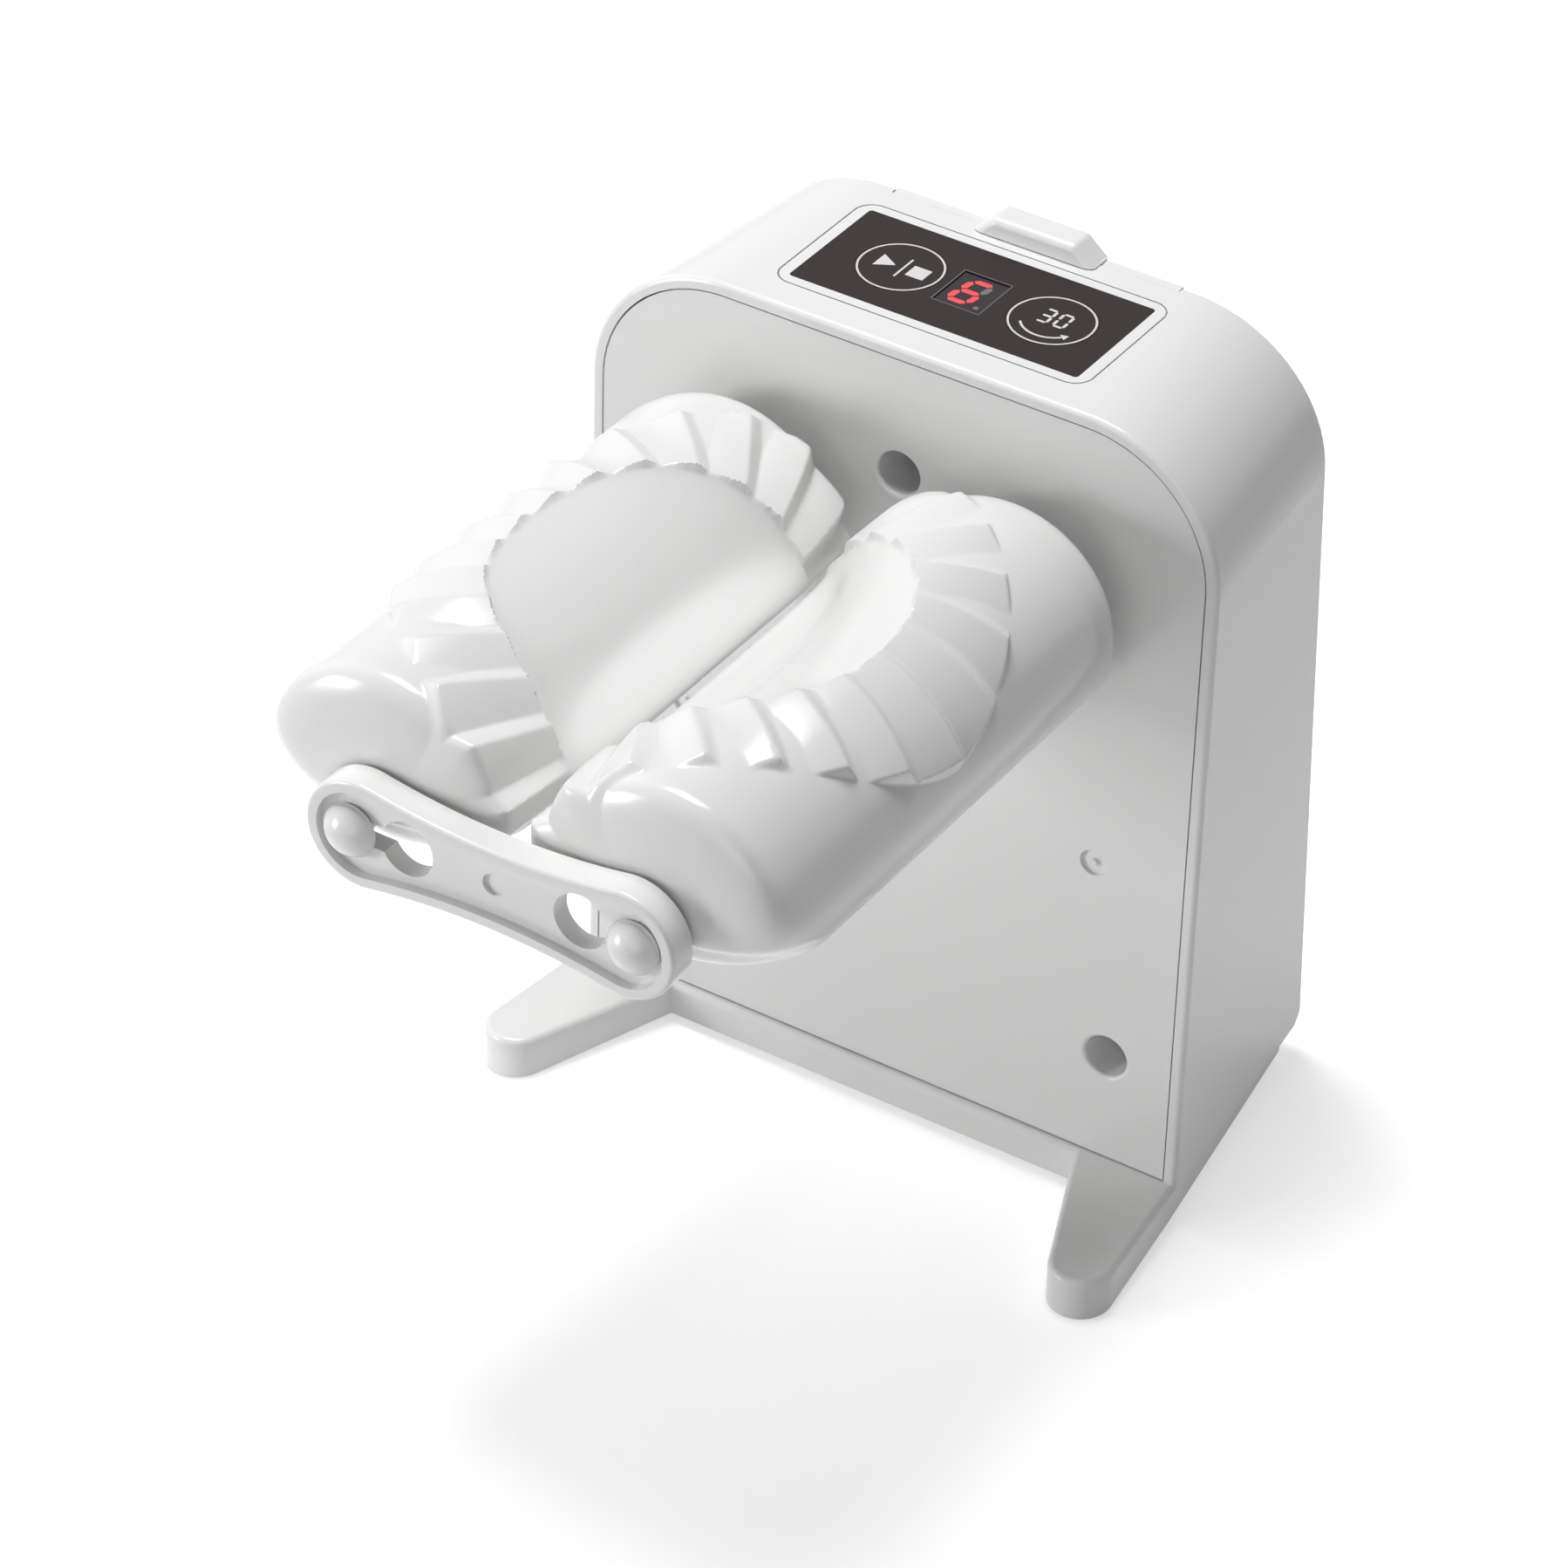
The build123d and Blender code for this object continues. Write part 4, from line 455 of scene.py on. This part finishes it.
# Control panel: a white bezel snapped into the top, with a dark printed film over it. The film
# gives way inside the two rings, where a stem under it works a switch, and clears over the
# one-digit display.
FILM_DARK = (0.026, 0.018, 0.019)
PRINT_WHITE = (0.72, 0.7, 0.7)
DIGIT_RED = (0.62, 0.035, 0.045)
DIGIT_GLOW = (0.9, 0.07, 0.09)
GLOW_LEVEL = 0.35
MATT_SHEEN = 0.12                           # a matt film mirrors less than bare plastic
SHEEN_SOCKET = "Specular IOR Level"
bezel_white = moulded_plastic("bezel_white_ABS", HOUSING_WHITE, HOUSING_GLOSS)
finish_nodes(bezel_white, "control_bezel")
film_dark = moulded_plastic("printed_dark_film", FILM_DARK, 0.42, uneven=0.03)
film_dark.node_tree.nodes["Principled BSDF"].inputs[SHEEN_SOCKET].default_value = MATT_SHEEN
finish_nodes(film_dark, "label_film", "key_face_left", "key_face_right")
smoked = moulded_plastic("smoked_display_face", (0.012, 0.009, 0.01), 0.2, uneven=0.02)
smoked.node_tree.nodes["Principled BSDF"].inputs[SHEEN_SOCKET].default_value = 2 * MATT_SHEEN
finish_nodes(smoked, "led_display")
board_green = moulded_plastic("solder_mask", (0.02, 0.16, 0.07), 0.35)
finish_nodes(board_green, "control_board")
stem_white = moulded_plastic("stem_plastic", (0.8, 0.8, 0.79), 0.45)
finish_nodes(stem_white, "key_stem_left", "key_stem_right")
right_low, right_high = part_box("key_face_right")
left_low, left_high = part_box("key_face_left")
RIGHT_KEY_X = (right_low.x + right_high.x) / 2
LEFT_KEY_X = (left_low.x + left_high.x) / 2
KEY_Y = (right_low.y + right_high.y) / 2
FILM_Z = right_high.z
INK_T = 0.03 * MM
RING_R = 8.7 * MM
RING_LINE = 0.42 * MM
RING_STEPS = 96
PLAY_BACK, PLAY_TIP, PLAY_HALF_H = 5.2 * MM, 1.2 * MM, 2.4 * MM
DIVIDER_X, DIVIDER_W, DIVIDER_H = 0.6 * MM, 0.45 * MM, 7.4 * MM
STOP_X, STOP_W = 4.1 * MM, 4.0 * MM
NUMBER_H, NUMBER_LINE, NUMBER_UP = 5.4 * MM, 0.62 * MM, 1.0 * MM
THREE_LEFT, ZERO_RIGHT = 1.75 * MM, 1.95 * MM
SWEEP_R, SWEEP_LINE, SWEEP_STEPS = 6.3 * MM, 0.5 * MM, 30
SWEEP_FROM, SWEEP_TO = 215, 318             # degrees anticlockwise from +X
ARROW_HALF, ARROW_L = 1.0, 1.5              # mm
FIGURE_TRIM, FIGURE_GAP = 1.15, 0.45        # of a stroke, taken off the bars for their gaps


def ink_mesh(name, outlines, z, material):
    """Thin printed shapes: each convex outline in X and Y gets a thickness INK_T above z."""
    places, faces = [], []
    for outline in outlines:
        outline = np.asarray(outline, float)
        turn = np.roll(outline, -1, 0)
        if (outline[:, 0] * turn[:, 1] - turn[:, 0] * outline[:, 1]).sum() < 0:
            outline = outline[::-1]
        count, first = len(outline), len(places)
        for height in (z - INK_T, z + INK_T):
            places += [(x, y, height) for x, y in outline]
        low = list(range(first, first + count))
        high = list(range(first + count, first + 2 * count))
        faces += [low[::-1], high]
        for k in range(count):
            after = (k + 1) % count
            faces.append([low[k], low[after], high[after], high[k]])
    return new_piece(name, places, faces, material)


def arc_strip(centre, radius, width, start, stop, steps):
    """A ring or part of one as short four-sided outlines, in degrees anticlockwise from +X."""
    angle = np.radians(np.linspace(start, stop, steps + 1))
    ray = np.stack([np.cos(angle), np.sin(angle)], -1)
    inside = np.asarray(centre) + (radius - width / 2) * ray
    outside = np.asarray(centre) + (radius + width / 2) * ray
    return [[inside[k], outside[k], outside[k + 1], inside[k + 1]] for k in range(steps)]


def bar_outline(centre, width, height):
    """A rectangle round a centre."""
    x, y = centre
    return [(x - width / 2, y - height / 2), (x + width / 2, y - height / 2),
            (x + width / 2, y + height / 2), (x - width / 2, y + height / 2)]


def segment(centre, length, width, upright, slant=0.0):
    """One pointed bar of a figure, with its middle at centre, slanted to the right with height."""
    half, side = length / 2, width / 2
    along = [(-half, 0), (-half + side, -side), (half - side, -side),
             (half, 0), (half - side, side), (-half + side, side)]
    points = [(y, x) if upright else (x, y) for x, y in along]
    return [(centre[0] + x + slant * (centre[1] + y - KEY_Y), centre[1] + y) for x, y in points]


def figure(centre, digit, height, stroke, slant=0.0, wide=0.52):
    """Seven-bar figure: each bar is lit or not by the digit's pattern."""
    lit = {"0": "abcdef", "3": "abcdg", "6": "acdefg", "unlit": "b"}[digit]
    width = wide * height
    bar = width - FIGURE_TRIM * stroke
    post = height / 2 - FIGURE_TRIM * stroke * 0.5
    x, y = centre
    w, h = (width - stroke) / 2, (height - stroke) / 2
    places = {"a": (0, h, False), "g": (0, 0, False), "d": (0, -h, False),
              "f": (-w, h / 2, True), "b": (w, h / 2, True),
              "e": (-w, -h / 2, True), "c": (w, -h / 2, True)}
    shapes = []
    for name in lit:
        dx, dy, upright = places[name]
        length = post - FIGURE_GAP * stroke if upright else bar
        shapes.append(segment((x + dx, y + dy), length, stroke, upright, slant))
    return shapes


ink_white = moulded_plastic("printed_white_ink", PRINT_WHITE, 0.45)
left_key, right_key = (LEFT_KEY_X, KEY_Y), (RIGHT_KEY_X, KEY_Y)
play = [(LEFT_KEY_X - PLAY_BACK, KEY_Y - PLAY_HALF_H), (LEFT_KEY_X - PLAY_TIP, KEY_Y),
        (LEFT_KEY_X - PLAY_BACK, KEY_Y + PLAY_HALF_H)]
divider = bar_outline((LEFT_KEY_X + DIVIDER_X, KEY_Y), DIVIDER_W, DIVIDER_H)
stop = bar_outline((LEFT_KEY_X + STOP_X, KEY_Y), STOP_W, STOP_W)
shapes = arc_strip(left_key, RING_R, RING_LINE, 0, 360, RING_STEPS) + [play, divider, stop]
left_print = ink_mesh("key_print_left", shapes, FILM_Z, ink_white)
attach(left_print, "key_left")
number_y = KEY_Y + NUMBER_UP
shapes = arc_strip(right_key, RING_R, RING_LINE, 0, 360, RING_STEPS)
shapes += figure((RIGHT_KEY_X - THREE_LEFT, number_y), "3", NUMBER_H, NUMBER_LINE)
shapes += figure((RIGHT_KEY_X + ZERO_RIGHT, number_y), "0", NUMBER_H, NUMBER_LINE)
shapes += arc_strip(right_key, SWEEP_R, SWEEP_LINE, SWEEP_FROM, SWEEP_TO, SWEEP_STEPS)
tip = math.radians(SWEEP_TO)
arrow = np.array([(0.0, ARROW_HALF), (0.0, -ARROW_HALF), (ARROW_L, 0.0)]) * MM
turn = np.array([(-math.sin(tip), math.cos(tip)), (math.cos(tip), math.sin(tip))])
sweep_end = np.array(right_key) + SWEEP_R * np.array([math.cos(tip), math.sin(tip)])
shapes.append(sweep_end + arrow @ turn)
right_print = ink_mesh("key_print_right", shapes, FILM_Z, ink_white)
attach(right_print, "key_right")

glow = bpy.data.materials.new("lit_red_segments")
glow.use_nodes = True
lit_skin = glow.node_tree.nodes["Principled BSDF"]
lit_skin.inputs["Base Color"].default_value = (*DIGIT_RED, 1.0)
lit_skin.inputs["Roughness"].default_value = 0.3
lit_skin.inputs["Emission Color"].default_value = (*DIGIT_GLOW, 1.0)
lit_skin.inputs["Emission Strength"].default_value = GLOW_LEVEL
DIGIT_H = 9.6 * MM
DIGIT_LINE = 1.4 * MM
DIGIT_LEAN = 0.16
DIGIT_WIDE = 0.6                            # width of the digit for its height
DIGIT_LEFT = 0.4 * MM
DOT_RIGHT, DOT_BELOW, DOT_R, DOT_STEPS = 3.6 * MM, 4.4 * MM, 0.6 * MM, 24
digit_middle = (-DIGIT_LEFT, KEY_Y)
display_low, display_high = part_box("led_display")
digit = figure(digit_middle, "6", DIGIT_H, DIGIT_LINE, DIGIT_LEAN, DIGIT_WIDE)
digit_piece = ink_mesh("display_digit", digit, display_high.z, glow)
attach(digit_piece, "press")
unlit = moulded_plastic("unlit_segments", (0.16, 0.13, 0.15), 0.35)
dark_parts = figure(digit_middle, "unlit", DIGIT_H, DIGIT_LINE, DIGIT_LEAN, DIGIT_WIDE)
dark_parts += arc_strip((DOT_RIGHT, KEY_Y - DOT_BELOW), DOT_R / 2, DOT_R, 0, 360, DOT_STEPS)
dark_piece = ink_mesh("display_unlit_parts", dark_parts, display_high.z, unlit)
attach(dark_piece, "press")
FRAME_LINE = 0.22 * MM
FRAME_OUT = 0.35 * MM                       # the printed frame stands this far round the display
frame_grey = moulded_plastic("window_edge_print", (0.13, 0.12, 0.12), 0.4)
frame_low = (display_low.x - FRAME_OUT, display_low.y - FRAME_OUT)
frame_high = (display_high.x + FRAME_OUT, display_high.y + FRAME_OUT)
frame_w, frame_d = frame_high[0] - frame_low[0], frame_high[1] - frame_low[1]
window_middle = ((frame_low[0] + frame_high[0]) / 2, (frame_low[1] + frame_high[1]) / 2)
edges = [bar_outline((window_middle[0], y), frame_w + FRAME_LINE, FRAME_LINE)
         for y in (frame_low[1], frame_high[1])]
edges += [bar_outline((x, window_middle[1]), FRAME_LINE, frame_d - FRAME_LINE)
          for x in (frame_low[0], frame_high[0])]
window_print = ink_mesh("window_print", edges, FILM_Z, frame_grey)
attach(window_print, "press")


# Battery cells and springs: four AA cells, their printed jackets given one plain dark colour, stand
# in the rear pocket behind the door. Wound nickel-plated springs press each cell against its other
# contact plate.
SPRINGS = 4
SPRING_R = 3.4 * MM
SPRING_L = 3.5 * MM
SPRING_WIRE_R = 0.35 * MM
SPRING_TURNS = 3.5
SPRING_TAPER = 0.3                          # the coil draws in towards the cell by this share
SPRING_ROWS, WIRE_COLUMNS = 150, 10
POCKET_LEAN = math.radians(4.964)
jacket = moulded_plastic("dark_cell_jacket", (0.06, 0.07, 0.09), 0.3, coat=0.3)
finish_nodes(jacket, "battery_cells")
spring_low, spring_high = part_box("contact_springs")
up_slope = np.array([0.0, -math.sin(POCKET_LEAN), math.cos(POCKET_LEAN)])
out_of_slope = np.array([0.0, math.cos(POCKET_LEAN), math.sin(POCKET_LEAN)])
across = np.array([1.0, 0.0, 0.0])
back_y = SPRING_R * math.cos(POCKET_LEAN) + SPRING_L / 2 * math.sin(POCKET_LEAN)
rise_z = SPRING_L / 2 * math.cos(POCKET_LEAN) + SPRING_R * math.sin(POCKET_LEAN)
pitch = (spring_high.x - spring_low.x - 2 * SPRING_R) / (SPRINGS - 1)


def wound_spring(centre, way):
    """Helix whose radius draws in as it rises. A round wire follows it."""
    along = np.linspace(0.0, 1.0, SPRING_ROWS)[:, None]
    around = np.linspace(0.0, 2 * np.pi, WIRE_COLUMNS, endpoint=False)[None, :]
    angle = 2 * np.pi * SPRING_TURNS * along
    drawn_in = (SPRING_R - SPRING_WIRE_R) * (1 - SPRING_TAPER * along)
    reach = drawn_in + SPRING_WIRE_R * np.cos(around)
    rise = way * (SPRING_L - 2 * SPRING_WIRE_R) * (along - 0.5)
    height = rise + SPRING_WIRE_R * np.sin(around)
    ray = np.cos(angle)[..., None] * across + np.sin(angle)[..., None] * out_of_slope
    return np.asarray(centre) + reach[..., None] * ray + height[..., None] * up_slope


for count in range(SPRINGS):
    x = spring_low.x + SPRING_R + count * pitch
    if count % 2 == 0:
        centre, way = (x, spring_high.y - back_y, spring_low.z + rise_z), 1
    else:
        centre, way = (x, spring_low.y + back_y, spring_high.z - rise_z), -1
    coil = skin_mesh("contact_spring_" + str(count + 1), wound_spring(centre, way), nickel)
    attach(coil, "press")
    if count == 0:
        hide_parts("contact_springs")


# Studio: a pale floor and backdrop, a soft lamp overhead, and weaker ones from the left and the
# front. Floor and backdrop are lifted to white only where the camera, a mirror or glass sees them,
# so that they keep the press's shadow and don't light it.
FLOOR_HALF = 6.0
FLOOR_PAINT = (0.9, 0.9, 0.9, 1.0)
FLOOR_ROUGH = 0.9
FLOOR_LIFT = 0.55
SKY_LIGHT, SKY_SEEN = 0.11, 1.0
WHITE = (1.0, 1.0, 1.0, 1.0)
LAMP_TARGET = Vector((0.0, 0.0, 0.09))
LAMPS = (("lamp_above", (-0.2, 0.05, 1.1), 0.45, 8.5),        # name, place, width in m, watts
         ("lamp_left", (-0.95, -0.95, 0.25), 0.4, 6.5),
         ("lamp_front", (0.35, -1.3, 0.4), 0.6, 1.4))


def seen_level(tree, unseen, seen):
    """Strength that is `seen` for rays of the camera, mirrors and glass, and `unseen` for others:
    the largest of the three ray flags picks between the two."""
    path = tree.nodes.new("ShaderNodeLightPath")
    flag = path.outputs["Is Camera Ray"]
    for kind in ("Is Glossy Ray", "Is Transmission Ray"):
        larger = tree.nodes.new("ShaderNodeMath")
        larger.operation = "MAXIMUM"
        tree.links.new(flag, larger.inputs[0])
        tree.links.new(path.outputs[kind], larger.inputs[1])
        flag = larger.outputs[0]
    level = tree.nodes.new("ShaderNodeMapRange")
    level.inputs["To Min"].default_value = unseen
    level.inputs["To Max"].default_value = seen
    tree.links.new(flag, level.inputs["Value"])
    return level.outputs["Result"]


floor_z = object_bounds()[0].z
floor_white = bpy.data.materials.new("studio_floor")
floor_white.use_nodes = True
tree = floor_white.node_tree
paint = tree.nodes["Principled BSDF"]
paint.inputs["Base Color"].default_value = FLOOR_PAINT
paint.inputs["Roughness"].default_value = FLOOR_ROUGH
paint.inputs["Emission Color"].default_value = WHITE
tree.links.new(seen_level(tree, 0.0, FLOOR_LIFT), paint.inputs["Emission Strength"])
floor_corners = [(-FLOOR_HALF, -FLOOR_HALF, floor_z), (FLOOR_HALF, -FLOOR_HALF, floor_z),
                 (FLOOR_HALF, FLOOR_HALF, floor_z), (-FLOOR_HALF, FLOOR_HALF, floor_z)]
floor = new_piece("studio_floor", floor_corners, [(0, 1, 2, 3)], floor_white)

world = bpy.data.worlds.new("studio")
bpy.context.scene.world = world
world.use_nodes = True
tree = world.node_tree
air = tree.nodes["Background"]
air.inputs["Color"].default_value = WHITE
tree.links.new(seen_level(tree, SKY_LIGHT, SKY_SEEN), air.inputs["Strength"])

for name, place, size, watts in LAMPS:
    light = bpy.data.lights.new(name, "AREA")
    light.energy = watts
    light.size = size
    lamp = bpy.data.objects.new(name, light)
    bpy.context.scene.collection.objects.link(lamp)
    lamp.location = place
    lamp.rotation_euler = (LAMP_TARGET - Vector(place)).to_track_quat("-Z", "Y").to_euler()

# The camera stands where the photograph was taken from, as fitted to the press's own edges.
IMAGE = 1798
FOCAL_PIXELS = 7576.58
YAW, PITCH, ROLL = math.radians(31.88), math.radians(35.82), math.radians(1.71)
ASIDE, ABOVE, AWAY = 18.27 * MM, 3.32 * MM, 1335.45 * MM
CENTRE_X, CENTRE_Y = 911.93, 908.57
AIM = Vector((0.0, 38.333 * MM, 83.621 * MM))
back = Vector((math.sin(YAW) * math.cos(PITCH), -math.cos(YAW) * math.cos(PITCH), math.sin(PITCH)))
level_right = Vector((math.cos(YAW), math.sin(YAW), 0.0))
level_up = back.cross(level_right)
right = math.cos(ROLL) * level_right + math.sin(ROLL) * level_up
up = -math.sin(ROLL) * level_right + math.cos(ROLL) * level_up
camera_data = bpy.data.cameras.new("camera")
camera_data.sensor_width = 36.0
camera_data.lens = FOCAL_PIXELS / IMAGE * camera_data.sensor_width
camera_data.shift_x = (IMAGE / 2 - CENTRE_X) / IMAGE
camera_data.shift_y = (CENTRE_Y - IMAGE / 2) / IMAGE
camera_data.clip_start = 0.05
camera_data.clip_end = 50.0
camera = bpy.data.objects.new("camera", camera_data)
bpy.context.scene.collection.objects.link(camera)
camera_place = AIM - ASIDE * right - ABOVE * up + AWAY * back
camera_axes = Matrix((right, up, back)).transposed().to_4x4()
camera.matrix_world = Matrix.Translation(camera_place) @ camera_axes
bpy.context.scene.camera = camera
bpy.context.scene.view_settings.view_transform = "Standard"
